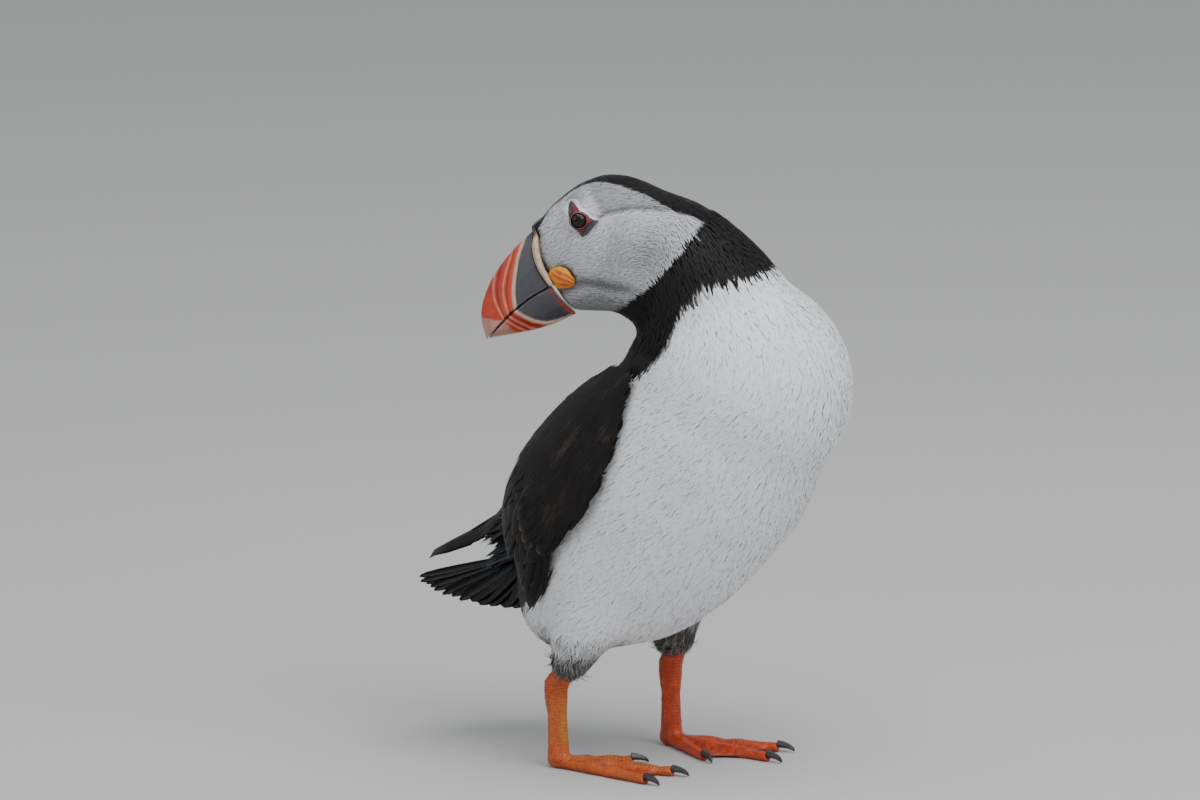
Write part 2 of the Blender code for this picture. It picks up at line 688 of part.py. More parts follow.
def build_flesh(finish, head_cutters, shanks, tail):
    """Head, neck, trunk and thighs, parted from one smooth form and cut clear of what stands in them.

    Gives back the whole form, which the wings are cut clear of.
    """
    breast = ball("breast", body_point(*BREAST_CENTRE), (BREAST_RADIUS,) * 3, 28)
    pieces = [trunk_form(), breast, neck_form(), head_form(), thigh_form("left"), thigh_form("right")]
    form = one_body(joined("flesh", pieces), FLESH_VOXEL, FLESH_SOFTENING, FLESH_TRIANGLES)

    def split(cut_plane, name):
        point, facing = (body_point(*values) for values in cut_plane)
        step = facing.normalized() * GAP / 2
        before = half_space(name + "_before", point - step, -facing)
        after = half_space(name + "_after", point + step, facing)
        return before, after

    before_head_cut, after_head_cut = split(HEAD_CUT, "head_cut")
    before_neck_cut, after_neck_cut = split(NECK_CUT, "neck_cut")
    head, neck, trunk = (copy_of(form, name) for name in ("head", "neck", "trunk"))
    cut(head, before_head_cut, operation="INTERSECT")
    cut(head, *head_cutters)
    cut(neck, after_head_cut, before_neck_cut, operation="INTERSECT")
    cut(trunk, after_neck_cut, operation="INTERSECT")
    cut(trunk, grown(tail))
    for side, shank in zip(SIDES, shanks):
        hip, shin = leg_point(side, "hip"), leg_point(side, "shin")
        way = (shin - hip).normalized()
        top = hip + way * (hip.z - THIGH_NODE_TOP) / -way.z
        zone = tube("thigh_zone_" + side, [top, shin + way * 0.03], [THIGH_RADII[0] + 0.001] * 2, sides=16)
        thigh = cut(copy_of(form, "thigh"), zone, operation="INTERSECT")
        cut(thigh, shank)
        finished(thigh, "thigh_" + side, finish["white"])
        cut(trunk, grown(zone))
    finished(head, "head", finish["white"])
    finished(neck, "neck", finish["black"])
    finished(trunk, "trunk", finish["white"])
    return form


def centre_over_origin():
    """Puts the middle of the bird's box over the origin, with its soles on the floor at z = 0."""
    corners = [vertex.co for part in PUFFIN.objects for vertex in part.data.vertices]
    middle = [(min(c[i] for c in corners) + max(c[i] for c in corners)) / 2 for i in (0, 1)]
    for part in PUFFIN.objects:
        part.data.transform(Matrix.Translation((-middle[0], -middle[1], 0.0)))


def main():
    finish = {
        "white": material("white_plumage", (0.80, 0.80, 0.80), 0.85),
        "black": material("black_plumage", (0.016, 0.015, 0.016), 0.75),
        "wing": material("wing_feathers", (0.022, 0.019, 0.018), 0.65),
        "bill": material("bill_horn", (0.55, 0.12, 0.06), 0.45),
        "ridge": material("ridge_horn", (0.62, 0.50, 0.33), 0.55),
        "rosette": material("rosette_skin", (0.80, 0.38, 0.02), 0.55),
        "eye": material("eye", (0.03, 0.015, 0.01), 0.08),
        "leg": material("leg_skin", (0.62, 0.13, 0.02), 0.55),
        "claw": material("claw_horn", (0.02, 0.018, 0.016), 0.35),
    }
    head_cutters = build_head_fittings(finish)
    shanks = build_legs(finish)
    tail = tail_form()
    form = build_flesh(finish, head_cutters, shanks, tail)
    finished(tail, "tail", finish["wing"])
    clear_of_flesh = grown(form)
    for side in SIDES:
        finished(cut(wing_form(side), clear_of_flesh), "wing_" + side, finish["wing"])
    centre_over_origin()


for old in list(bpy.data.objects):
    bpy.data.objects.remove(old)
PUFFIN = bpy.data.collections.new("atlantic_puffin")
WORKSHOP = bpy.data.collections.new("workshop")
bpy.context.scene.collection.children.link(PUFFIN)
bpy.context.scene.collection.children.link(WORKSHOP)
main()
for cutter in WORKSHOP.objects:
    cutter.hide_render = True
    cutter.display_type = "WIRE"
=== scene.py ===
"""A life-size museum model of an atlantic puffin, standing, with its head turned back over its right wing.
It is put together as a bird mounter would: skin over the carved body, then the coat, wings and tail, then the
head's fittings, and last the legs. Lengths are in metres; the bird faces -Y and +X is its left."""

import math

import bmesh
import bpy
import numpy as np
from mathutils import Matrix, Vector
from mathutils.bvhtree import BVHTree
from mathutils.kdtree import KDTree


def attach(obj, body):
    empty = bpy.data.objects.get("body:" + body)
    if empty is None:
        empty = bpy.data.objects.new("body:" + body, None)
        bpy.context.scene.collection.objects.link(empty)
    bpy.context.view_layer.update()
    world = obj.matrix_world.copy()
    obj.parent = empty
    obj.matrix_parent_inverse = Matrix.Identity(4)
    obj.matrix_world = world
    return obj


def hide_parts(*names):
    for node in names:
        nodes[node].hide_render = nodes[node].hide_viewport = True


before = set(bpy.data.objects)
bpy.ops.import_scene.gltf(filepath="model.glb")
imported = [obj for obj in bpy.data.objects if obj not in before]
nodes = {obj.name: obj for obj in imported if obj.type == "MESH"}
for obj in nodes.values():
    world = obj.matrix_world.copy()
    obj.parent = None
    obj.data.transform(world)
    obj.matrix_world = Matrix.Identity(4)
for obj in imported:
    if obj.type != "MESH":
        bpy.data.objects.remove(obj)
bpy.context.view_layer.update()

# THE SKIN. One hide over head, neck, trunk and thighs, drawn on wet over the carved body and left to dry.
# It is made from the body's own forms run together, then let in by the depth of the coat that will cover it,
# with the fold behind each eye pressed into it.
SKIN_GRAIN = 0.0013
SKIN_PARTS = ("head", "neck", "trunk", "thigh_left", "thigh_right")
SET_OUT = (-0.00004, 0.00594, 0.0)  # the spot on the floor that the bird is measured from
TRUNK_LEAN = math.radians(43)
TRUNK_MIDDLE = np.array((-0.00004, -0.00906, 0.103))
HEAD_MIDDLE = np.array((-0.01504, 0.00394, 0.2004))
HEAD_TURN = math.radians(152)
HEAD_TIP = math.radians(30)
HEAD_ENDS = (0.027, 0.038)
NECK_HEIGHTS = (0.150, 0.182)
LEG_HEIGHTS = (0.046, 0.066)
LEG_ENDS = (0.014, 0.022)
LEG_ASIDE = 0.0245
LEG_BACK = {"left": -0.0062, "right": 0.0130}
CUFF_HEIGHTS = (0.034, 0.046)
COAT_DEPTH_TRUNK = 0.0019
COAT_DEPTH_NECK = 0.0016
COAT_DEPTH_HEAD = 0.0010
COAT_DEPTH_THIGH = 0.0011
BROW_PUTTY = ((0.0172, 0.0, 0.0192), (0.0042, 0.0034, 0.0026))
SEWN_WITHIN = 0.00001
# The fold's line on the side of the head, as places towards the bill and up.
EYE_FOLD = ((-0.0032, 0.0140), (-0.0065, 0.0139), (-0.0103, 0.0129), (-0.0151, 0.0115), (-0.0212, 0.0084),
            (-0.0271, 0.0049), (-0.0312, 0.0021))
EYE_FOLD_DEPTH = 0.0011
EYE_FOLD_WIDTH = 0.0012
EYE_FOLD_ASIDE = 0.010

trunk_way = np.array((0.0, -math.cos(TRUNK_LEAN), math.sin(TRUNK_LEAN)))
trunk_belly = np.array((0.0, -math.sin(TRUNK_LEAN), -math.cos(TRUNK_LEAN)))
head_axes = np.array(
    (Matrix.Rotation(-math.pi / 2 - HEAD_TURN, 3, "Z") @ Matrix.Rotation(HEAD_TIP, 3, "Y")).transposed())


def unit(vectors):
    """Vectors of length one."""
    return vectors / np.maximum(np.linalg.norm(vectors, axis=-1, keepdims=True), 1e-12)


def fade(values, start, end):
    """0 at start, 1 at end, and smooth between."""
    share = np.clip((values - start) / (end - start), 0.0, 1.0)
    return share * share * (3 - 2 * share)


def on_head(places):
    """Places in the head's own axes: towards the bill, to the head's left, up."""
    return (places - HEAD_MIDDLE) @ head_axes.T


def off_head(places):
    """The head's own places in the model."""
    return np.asarray(places) @ head_axes + HEAD_MIDDLE


def along_trunk(places):
    """Distance along the trunk's axis towards the breast, angle round it from the belly, distance from it."""
    off = places - TRUNK_MIDDLE
    belly = off @ trunk_belly
    return off @ trunk_way, np.arctan2(np.abs(off[..., 0]), belly), np.hypot(off[..., 0], belly)


def body_shares(places):
    """How far each place belongs to the head, the neck and the thighs, each from 0 to 1."""
    reach = np.linalg.norm(places - HEAD_MIDDLE, axis=-1)
    head = 1 - fade(reach, *HEAD_ENDS)
    neck = fade(places[..., 2], *NECK_HEIGHTS)
    leg = 1 - fade(places[..., 2], *LEG_HEIGHTS)
    leg_back = np.where(places[..., 0] > 0, LEG_BACK["left"], LEG_BACK["right"])
    leg_gap = np.hypot(np.abs(places[..., 0]) - LEG_ASIDE, (places[..., 1] - leg_back) * 0.7)
    return head, neck, leg * (1 - fade(leg_gap, *LEG_ENDS))


def depth_of_coat(places):
    """How thick the coat lies over each place."""
    head, neck, leg = body_shares(places)
    depth = COAT_DEPTH_TRUNK + (COAT_DEPTH_NECK - COAT_DEPTH_TRUNK) * neck
    depth = depth + (COAT_DEPTH_HEAD - depth) * head
    depth = depth + (COAT_DEPTH_THIGH - depth) * leg
    return depth * (0.45 + 0.55 * fade(places[..., 2], *CUFF_HEIGHTS))


def verts_of(mesh, what="co"):
    """A mesh's vertex places or normals as an array."""
    values = np.empty(len(mesh.vertices) * 3)
    if what == "co":
        mesh.vertices.foreach_get("co", values)
    else:
        mesh.vertex_normals.foreach_get("vector", values)
    return values.reshape(-1, 3)


def edges_of(mesh):
    """A mesh's edges as pairs of vertex numbers."""
    values = np.empty(len(mesh.edges) * 2, np.int32)
    mesh.edges.foreach_get("vertices", values)
    return values.reshape(-1, 2)


def eased(values, edges, rounds, hold=0.5):
    """Values on vertices, each drawn towards the mean of its neighbours."""
    ends = np.concatenate((edges[:, 0], edges[:, 1]))
    others = np.concatenate((edges[:, 1], edges[:, 0]))
    count = np.maximum(np.bincount(ends, minlength=len(values)), 1)[:, None]
    for _ in range(rounds):
        mean = np.stack([np.bincount(ends, values[others, k], len(values)) for k in range(values.shape[1])], 1)
        values = values * hold + (mean / count) * (1 - hold)
    return values


def merged(name, sources):
    """A fresh object from copies of the frame's forms, with their loose triangles sewn together."""
    sewn = bmesh.new()
    for source in sources:
        sewn.from_mesh(nodes[source].data)
    bmesh.ops.remove_doubles(sewn, verts=sewn.verts, dist=SEWN_WITHIN)
    mesh = bpy.data.meshes.new(name)
    sewn.to_mesh(mesh)
    sewn.free()
    made = bpy.data.objects.new(name, mesh)
    bpy.context.scene.collection.objects.link(made)
    return made


def settled(made):
    """Puts an object's modifiers into its mesh."""
    bpy.context.view_layer.update()
    mesh = bpy.data.meshes.new_from_object(made.evaluated_get(bpy.context.evaluated_depsgraph_get()))
    made.modifiers.clear()
    made.data = mesh
    return made


def run_together(made, grain, softening=0):
    """Runs an object's forms into one closed surface of even grain."""
    remesh = made.modifiers.new("one hide", "REMESH")
    remesh.mode = "VOXEL"
    remesh.voxel_size = grain
    remesh.use_smooth_shade = True
    if softening:
        soften = made.modifiers.new("soften", "SMOOTH")
        soften.iterations = softening
    settled(made)
    made.data.materials.clear()
    return made


def distance_to_line(points, line):
    """Each flat point's distance from a line of straight runs, and the share of the line where that is."""
    line = np.asarray(line)
    best = np.full(len(points), 1.0)
    share = np.zeros(len(points))
    for k in range(len(line) - 1):
        run = line[k + 1] - line[k]
        t = np.clip(((points - line[k]) @ run) / (run @ run), 0, 1)
        gap = np.linalg.norm(points - line[k] - t[:, None] * run, axis=1)
        nearer = gap < best
        best = np.where(nearer, gap, best)
        share = np.where(nearer, (k + t) / (len(line) - 1), share)
    return best, share


skin = merged("skin", SKIN_PARTS + ("eye_left", "eye_right"))
puttied = bmesh.new()
puttied.from_mesh(skin.data)
brow_turn = Matrix(head_axes).transposed().to_4x4()
brow = Matrix.Translation(off_head(BROW_PUTTY[0])) @ brow_turn @ Matrix.Diagonal((*BROW_PUTTY[1], 1))
bmesh.ops.create_icosphere(puttied, subdivisions=3, radius=1.0, matrix=brow)
puttied.to_mesh(skin.data)
puttied.free()
run_together(skin, SKIN_GRAIN, softening=3)
skin_edges = edges_of(skin.data)
outer_places = verts_of(skin.data)
outer_normals = unit(eased(verts_of(skin.data, "normal"), skin_edges, 8))
cheek = on_head(outer_places)
fold_gap, fold_share = distance_to_line(cheek[:, (0, 2)], EYE_FOLD)
fold = np.exp(-((fold_gap / EYE_FOLD_WIDTH) ** 2)) * np.sin(np.pi * (0.12 + 0.82 * fold_share))
fold = fold * (np.abs(cheek[:, 1]) > EYE_FOLD_ASIDE) * (np.linalg.norm(cheek, axis=1) < 0.045)
let_in = depth_of_coat(outer_places) + EYE_FOLD_DEPTH * fold
skin_places = outer_places - outer_normals * let_in[:, None]
skin.data.vertices.foreach_set("co", skin_places.ravel())
skin.data.update()
skin_normals = unit(eased(verts_of(skin.data, "normal"), skin_edges, 6))
skin_tree = KDTree(len(skin_places))
for number, place in enumerate(skin_places):
    skin_tree.insert(place, number)
skin_tree.balance()


# THE MARKINGS. The bird is white below and near black above, with a grey-white cheek between the cap and the
# collar. The skin is tinted with the coat's own colours, so that no light skin shows between dark tufts, and no
# dark skin between light ones.
WHITE = (0.80, 0.815, 0.845)
SHADE_WHITE = (0.60, 0.60, 0.62)
BLACK = (0.0085, 0.0080, 0.0085)
CHEEK_PALE = (0.60, 0.61, 0.65)
CHEEK_GREY = (0.27, 0.27, 0.285)
# Painted shade for the crease along the jowl and the fold behind the eye.
CHEEK_SHADE = (0.115, 0.115, 0.12)
THIGH_GREY = (0.075, 0.066, 0.060)
# The flank feathers' grey rims, and painted shade under the wing's edge.
FLANK_GREY_AND_WING_SHADE = (0.16, 0.155, 0.155)
# Where the black back begins: the height, and how far ahead of the measuring spot.
BACK_EDGE = ((0.030, -0.0640), (0.045, -0.0560), (0.060, -0.0330), (0.0700, -0.0180), (0.0818, -0.0084),
             (0.0940, -0.0024), (0.1050, 0.0067), (0.1189, 0.0171), (0.1325, 0.0240), (0.1405, 0.0234),
             (0.1517, 0.0206), (0.1578, 0.0213), (0.1595, 0.0258), (0.1635, 0.0317), (0.1715, 0.0376),
             (0.1778, 0.0376), (0.1859, 0.0408), (0.1925, 0.0463), (0.1949, 0.0511), (0.1963, 0.0570),
             (0.1975, 0.0700), (0.2000, 0.0900))
BARB_DEPTH = 0.0002
STRAY_GRAIN = 0.0016
CHEEK_EDGE_UP = -0.0168
CHEEK_EDGE_SLOPE = -0.3106
# The black cap: the place towards the bill, and how far aside it reaches there.
CAP_HALF = ((-0.0400, 0.0300), (-0.0383, 0.0195), (-0.0346, 0.0188), (-0.0311, 0.0189), (-0.0280, 0.0172),
            (-0.0248, 0.0152), (-0.0217, 0.0122), (-0.0186, 0.0103), (-0.0152, 0.0088), (-0.0122, 0.0076),
            (-0.0075, 0.0040), (0.0000, 0.0022), (0.0108, 0.0013), (0.0150, 0.0014), (0.0180, 0.0026),
            (0.0220, 0.0034))
BLOTCH_MIDDLE, BLOTCH_HALF = (-0.013, -0.004), (0.013, 0.009)
BROW_SHADE_MIDDLE, BROW_SHADE_HALF = (0.001, 0.0235), (0.004, 0.0022)
JOWL_LEVEL = -0.0045
JOWL_FALL = 0.60
JOWL_FALLS_FROM = 0.0150
JOWL_SHADE_HALF = 0.0028
CREASE_SHADE_HALF = 0.0007


def table(values, rows):
    """Reads values off a table of rows (place, value), straight between them."""
    rows = np.array(sorted(rows))
    return np.interp(values, rows[:, 0], rows[:, 1])


def mixed(first, second, share):
    """A colour between two, for each place."""
    return np.asarray(first) + (np.asarray(second) - np.asarray(first)) * np.asarray(share)[..., None]


def wander(places, grain, seed=0.0):
    """A slow, even unevenness from about -1 to 1 over the body."""
    x, y, z = (places[..., k] / grain + seed * (k + 1.7) for k in range(3))
    over_x, over_y, over_z = x + 1.3 * np.sin(y + 0.7), y * 1.1 + 1.7 * np.sin(z), z * 0.9 + 1.1 * np.sin(x)
    return (np.sin(over_x) + np.sin(over_y) + np.sin(over_z)) / 3


def hump(places, middle, half):
    """A smooth hump of height one over a flat middle, from two distances."""
    (first, second), (wide, high) = middle, half
    return np.exp(-(((places[0] - first) / wide) ** 2 + ((places[1] - second) / high) ** 2))


def plumage(places):
    """The coat's colour at each place, with painted shade over the far thigh, above and along the fold behind the
    eye, along the jowl, and partly in the grey band under the wing's edge.
    """
    ahead = SET_OUT[1] - places[..., 1]
    up = places[..., 2]
    head = on_head(places)
    toward_bill, aside, over = head[..., 0], np.abs(head[..., 1]), head[..., 2]
    stray = wander(places, STRAY_GRAIN, 2.0) * 0.0007
    past_edge = ahead - table(up, BACK_EDGE)
    dark = 1 - fade(past_edge + stray, -0.0008, 0.0008)
    colour = mixed(WHITE, SHADE_WHITE, 0.35 * fade(wander(places, 0.013), 0.1, 0.9))
    # A grey band just below the black back's edge, low on the trunk where the wing's edge lies: partly the flank
    # feathers' own grey rims, partly painted shade under the wing's edge.
    flank_rims_and_wing_shade = np.exp(-(((past_edge - 0.0015) / 0.0035) ** 2)) * (1 - fade(up, 0.105, 0.135))
    colour = mixed_rows(colour, FLANK_GREY_AND_WING_SHADE, 0.55 * flank_rims_and_wing_shade)
    leg = body_shares(places)[2]
    low = 1 - fade(up + 0.0030 * wander(places, STRAY_GRAIN, 7.0), 0.0400, 0.0575)
    flecks = 0.35 * (wander(places, 0.0018, 5.0) > 0.25) * (1 - fade(up, 0.052, 0.070))
    # Painted shade: the far thigh is painted dark grey all over. The grey low on both thighs and the flecks are
    # their own colour.
    far_thigh_shade = (places[..., 0] > 0.0) * leg
    colour = mixed_rows(colour, THIGH_GREY, np.clip(leg * (low + flecks) + far_thigh_shade * 0.8, 0, 1))
    colour = mixed_rows(colour, BLACK, dark)
    cheek_share = fade(over - (CHEEK_EDGE_UP + CHEEK_EDGE_SLOPE * toward_bill) + stray * 0.6, -0.0006, 0.0006)
    cap = 1 - fade(aside - table(toward_bill, CAP_HALF) + stray * 0.5, -0.0004, 0.0004)
    cap = cap * fade(over, -0.009, -0.006)
    fold_line = table(-toward_bill, [(-f, h) for f, h in EYE_FOLD])
    # Painted shade: the cheek above the fold behind the eye is painted grey.
    shade_above_fold = fade(over - fold_line, -0.0004, 0.0008) * fade(-toward_bill, 0.0035, 0.0055)
    blotch = hump((toward_bill, over), BLOTCH_MIDDLE, BLOTCH_HALF)
    face = mixed(CHEEK_PALE, CHEEK_GREY, np.clip(0.75 * shade_above_fold + 0.8 * blotch, 0, 1))
    under_line = JOWL_LEVEL - JOWL_FALL * (JOWL_FALLS_FROM - toward_bill) * (toward_bill < JOWL_FALLS_FROM)
    # Painted shade: a dark band along the jowl line, as the shadow of a crease there.
    jowl_crease_shade = np.exp(-(((over - under_line) / JOWL_SHADE_HALF) ** 2)) * fade(toward_bill, -0.006, 0.004) * (over < 0.0)
    throat = 1 - fade(over - under_line, -0.0075, -0.0030)
    face = mixed_rows(face, CHEEK_GREY, 0.75 * throat)
    face = mixed_rows(face, CHEEK_SHADE, 0.80 * jowl_crease_shade)
    face = mixed_rows(face, CHEEK_GREY, 0.6 * hump((toward_bill, over), BROW_SHADE_MIDDLE, BROW_SHADE_HALF))
    flat = np.stack((toward_bill.ravel(), over.ravel()), 1)
    fold_gap = distance_to_line(flat, EYE_FOLD)[0].reshape(over.shape)
    # Painted shade: a dark line along the fold pressed in behind the eye.
    crease = np.exp(-((fold_gap / CREASE_SHADE_HALF) ** 2)) * (aside > EYE_FOLD_ASIDE)
    crease = crease * fade(-toward_bill, 0.002, 0.004) * (1 - fade(-toward_bill, 0.020, 0.034))
    face = mixed_rows(face, CHEEK_SHADE, 0.8 * crease)
    colour = mixed_rows(colour, face, cheek_share)
    return mixed_rows(colour, BLACK, cap)


def mixed_rows(first, second, share):
    """A colour between two, where the first already differs from place to place."""
    return first + (np.asarray(second) - first) * np.asarray(share)[..., None]


def paint(mesh, name, colours):
    """Stores a colour for each vertex."""
    layer = mesh.attributes.new(name, "FLOAT_COLOR", "POINT")
    full = np.ones((len(colours), 4), np.float32)
    full[:, :3] = colours
    layer.data.foreach_set("color", full.ravel())


def shader(name):
    """A new material, a maker of nodes in it, and a setter of its Principled shader's sockets."""
    made = bpy.data.materials.new(name)
    made.use_nodes = True
    tree = made.node_tree

    def wire(target, *plugs, **sockets):
        """Plugs each value or other node's output into a socket, by its number or its name."""
        for label, value in (*enumerate(plugs), *sockets.items()):
            socket = target.inputs[label if isinstance(label, int) else label.replace("_", " ")]
            if hasattr(value, "is_output"):
                tree.links.new(value, socket)
            else:
                socket.default_value = value
        return target

    def node(kind, *plugs, **given):
        """A wired node. Its own settings are given in small letters, its sockets with a capital."""
        new = tree.nodes.new(kind)
        for key in [key for key in given if key.islower()]:
            setattr(new, key, given.pop(key))
        return wire(new, *plugs, **given)

    def surface(**sockets):
        """Sets the material's own shader."""
        wire(tree.nodes["Principled BSDF"], **sockets)

    return made, node, surface


def cloudy_tint():
    """What every finish shares: a tint made cloudy, with the cloud itself and a finer grain beside it."""
    group = bpy.data.node_groups.new("cloudy tint", "ShaderNodeTree")
    for label, kind in (("Tint", "Color"), ("Scale", "Float"), ("Darkest", "Float"), ("Lightest", "Float"),
                        ("Grain Scale", "Float")):
        group.interface.new_socket(label, in_out="INPUT", socket_type="NodeSocket" + kind)
    for label, kind in (("Color", "Color"), ("Cloud", "Float"), ("Grain", "Float")):
        group.interface.new_socket(label, in_out="OUTPUT", socket_type="NodeSocket" + kind)
    given, made = group.nodes.new("NodeGroupInput"), group.nodes.new("NodeGroupOutput")
    lie = group.nodes.new("ShaderNodeTexCoord")
    cloud, grain = group.nodes.new("ShaderNodeTexNoise"), group.nodes.new("ShaderNodeTexNoise")
    cloud.inputs["Detail"].default_value = 4.0
    cloud.inputs["Roughness"].default_value = 0.6
    grain.inputs["Detail"].default_value = 2.0
    level = group.nodes.new("ShaderNodeMapRange")
    level.inputs["From Min"].default_value = 0.3
    level.inputs["From Max"].default_value = 0.7
    tone = group.nodes.new("ShaderNodeVectorMath")
    tone.operation = "SCALE"
    for start, end in (
        (lie.outputs["Object"], cloud.inputs["Vector"]), (lie.outputs["Object"], grain.inputs["Vector"]),
        (given.outputs["Scale"], cloud.inputs["Scale"]), (given.outputs["Grain Scale"], grain.inputs["Scale"]),
        (cloud.outputs["Fac"], level.inputs["Value"]), (given.outputs["Darkest"], level.inputs["To Min"]),
        (given.outputs["Lightest"], level.inputs["To Max"]), (given.outputs["Tint"], tone.inputs[0]),
        (level.outputs["Result"], tone.inputs["Scale"]), (tone.outputs["Vector"], made.inputs["Color"]),
        (cloud.outputs["Fac"], made.inputs["Cloud"]), (grain.outputs["Fac"], made.inputs["Grain"]),
    ):
        group.links.new(start, end)
    return group


cloudy = cloudy_tint()


def plumage_finish(name, roughness, sheen):
    """The coat's finish: its stored colour, a little uneven, with the fine grain of barbs across it."""
    made, node, surface = shader(name)
    stored = node("ShaderNodeAttribute", attribute_name="plumage")
    uneven = node("ShaderNodeGroup", node_tree=cloudy, Tint=stored.outputs["Color"], Scale=420.0, Darkest=0.94,
                  Lightest=1.06, Grain_Scale=2600.0)
    bump = node("ShaderNodeBump", Height=uneven.outputs["Grain"], Strength=0.25, Distance=BARB_DEPTH)
    surface(Base_Color=uneven.outputs["Color"], Normal=bump.outputs["Normal"], Roughness=roughness,
            Sheen_Weight=sheen, Sheen_Roughness=0.45, Specular_IOR_Level=0.25)
    return made


white_finish = plumage_finish("white plumage", 0.82, 0.10)
black_finish = plumage_finish("black plumage", 0.62, 0.03)
paint(skin.data, "plumage", plumage(outer_places))
skin.data.materials.append(white_finish)
skin.data.shade_smooth()
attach(skin, "root")
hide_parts(*SKIN_PARTS)


# THE COAT. Small overlapping tufts, each a thin closed vane rooted in the skin and lying back along the body.
# They are finest on the face and the shanks' tops and longest on the belly, and each takes the marking at its
# root. Their roots are strewn evenly, and their spines are drawn over the skin.
TUFT_STEPS = (0.0, 0.34, 0.72, 1.0)
TUFT_WIDTHS = (0.0, 1.0, 0.72, 0.0)
TUFT_LIFTS = (0.0, 0.66, 0.95, 0.92)
# Each tuft is a little darker at its root: partly grey down, partly painted shade deep in the coat.
TUFT_DOWN_AND_SHADE_TONES = (0.94, 0.98, 1.0, 1.01)
TUFT_SECTION = ((-1.0, 0.0), (0.0, 0.14), (1.0, 0.0), (0.0, -0.10))
TUFTS_IN_PIECE = 12400
HAIR_PALE = (0.30, 0.29, 0.29)
HAIR_PALE_SHARE = 0.35
BAKE_PATCH = 0.0030
ROOTS_TRIED = 3.0e6
HEAD_ZONE = 0.046
NAPE_END = -0.041
COLLAR_OVERLAP = 0.0012
WING_ROOM = 0.005
WING_OVER = 0.012
WING_COVER_END = -0.050
CUFF_ZONE = (0.0385, 0.0480)
# Where feathers end at the bill: the height on the head, and how far towards the bill.
BILL_BED = ((-0.0200, 0.0208), (-0.0170, 0.0218), (-0.0120, 0.0236), (-0.0065, 0.0250), (-0.0016, 0.0248),
            (0.0, 0.0236), (0.0072, 0.0236), (0.0138, 0.0216), (0.0160, 0.0206), (0.0188, 0.0208),
            (0.0220, 0.0215))
# The bare skin round the eye, as places towards the bill and up.
EYE_BED = ((0.0017, 0.0236), (0.0034, 0.0228), (0.0050, 0.0211), (0.0059, 0.0183), (0.0062, 0.0159),
           (0.0059, 0.0130), (0.0053, 0.0109), (0.0048, 0.0100), (0.0033, 0.0101), (0.0010, 0.0106),
           (-0.0012, 0.0116), (-0.0030, 0.0119), (-0.0042, 0.0128), (-0.0023, 0.0143), (-0.0016, 0.0155),
           (-0.0009, 0.0175), (0.0003, 0.0194), (0.0007, 0.0218))
EYE_BED_SLIDE = (0.0013, 0.0)
EYE_BED_ASIDE = 0.0055
# Each field's gap between roots, its tufts' length and width, how unevenly they lie and how far they lift.
COAT_FIELDS = {
    "coat_head": (0.00043, 0.0027, 0.00043, 0.07, 0.66),
    "coat_neck": (0.00060, 0.0056, 0.00072, 0.10, 1.0),
    "coat_body": (0.00062, 0.0085, 0.00112, 0.10, 1.0),
    "coat_back": (0.00120, 0.0085, 0.00210, 0.08, 1.0),
    "coat_thighs": (0.00066, 0.0075, 0.00055, 0.20, 1.0),
    "coat_cuffs": (0.00062, 0.0088, 0.00045, 0.16, 1.3),
}
FEWER = 1.0


def lie_of_coat(places):
    """The way the coat lies: back from the bill, down the neck, back along the trunk and down the leg."""
    head, neck, leg = (share[..., None] for share in body_shares(places))
    way = -trunk_way * (1 - neck) + np.array((0.0, -0.30, -0.95)) * neck
    nape = fade(-on_head(places)[..., 0], 0.004, 0.042)[..., None]
    back = -head_axes[0] * (1 - 0.45 * nape) + np.array((0.0, 0.0, -1.0)) * (0.12 + 0.5 * nape)
    way = way * (1 - head) + back * head
    way = way * (1 - leg) + np.array((0.0, 0.25, -0.97)) * leg
    swirl = wander(places, 0.017, 3.0)[..., None] * 0.10
    return unit(way + swirl * np.cross(way, np.array((0.3, 0.2, 1.0))))


def onto_skin(places):
    """The skin's nearest point and its smooth normal, for each place."""
    found = np.fromiter((skin_tree.find(place)[1] for place in places), np.int64, len(places))
    normal = skin_normals[found]
    return places - normal * ((places - skin_places[found]) * normal).sum(1)[:, None], normal


def unwrap(places):
    """Where each place falls on the skin laid out flat: round the body, and from tail to bill."""
    head = body_shares(places)[0]
    along, _, _ = along_trunk(places)
    off = places - TRUNK_MIDDLE
    round_trunk = np.arctan2(off[:, 0], off @ trunk_belly) / (2 * math.pi) + 0.5
    local = on_head(places)
    round_head = np.arctan2(local[:, 1], local[:, 2]) / (2 * math.pi) + 0.5
    on_top = head > 0.5
    u = np.where(on_top, round_head, round_trunk)
    v = np.where(on_top, 0.76 + (local[:, 0] + 0.045) * 3.2, 0.03 + (along + 0.090) * 3.45)
    return np.stack((u, v), 1) * 0.985 + 0.007


def vane_faces(steps, turns):
    """One vane's faces, as their corners and sizes: a fan at each end and bands of four-sided faces between."""
    last = 1 + (steps - 3) * turns
    end = last + turns
    corners, sizes = [], []
    for j in range(turns):
        n = (j + 1) % turns
        bands = [(a + j, a + turns + j, a + turns + n, a + n) for a in range(1, last, turns)]
        for face in ((0, 1 + j, 1 + n), *bands, (last + j, end, last + n)):
            corners.extend(face)
            sizes.append(len(face))
    return np.array(corners), np.array(sizes)


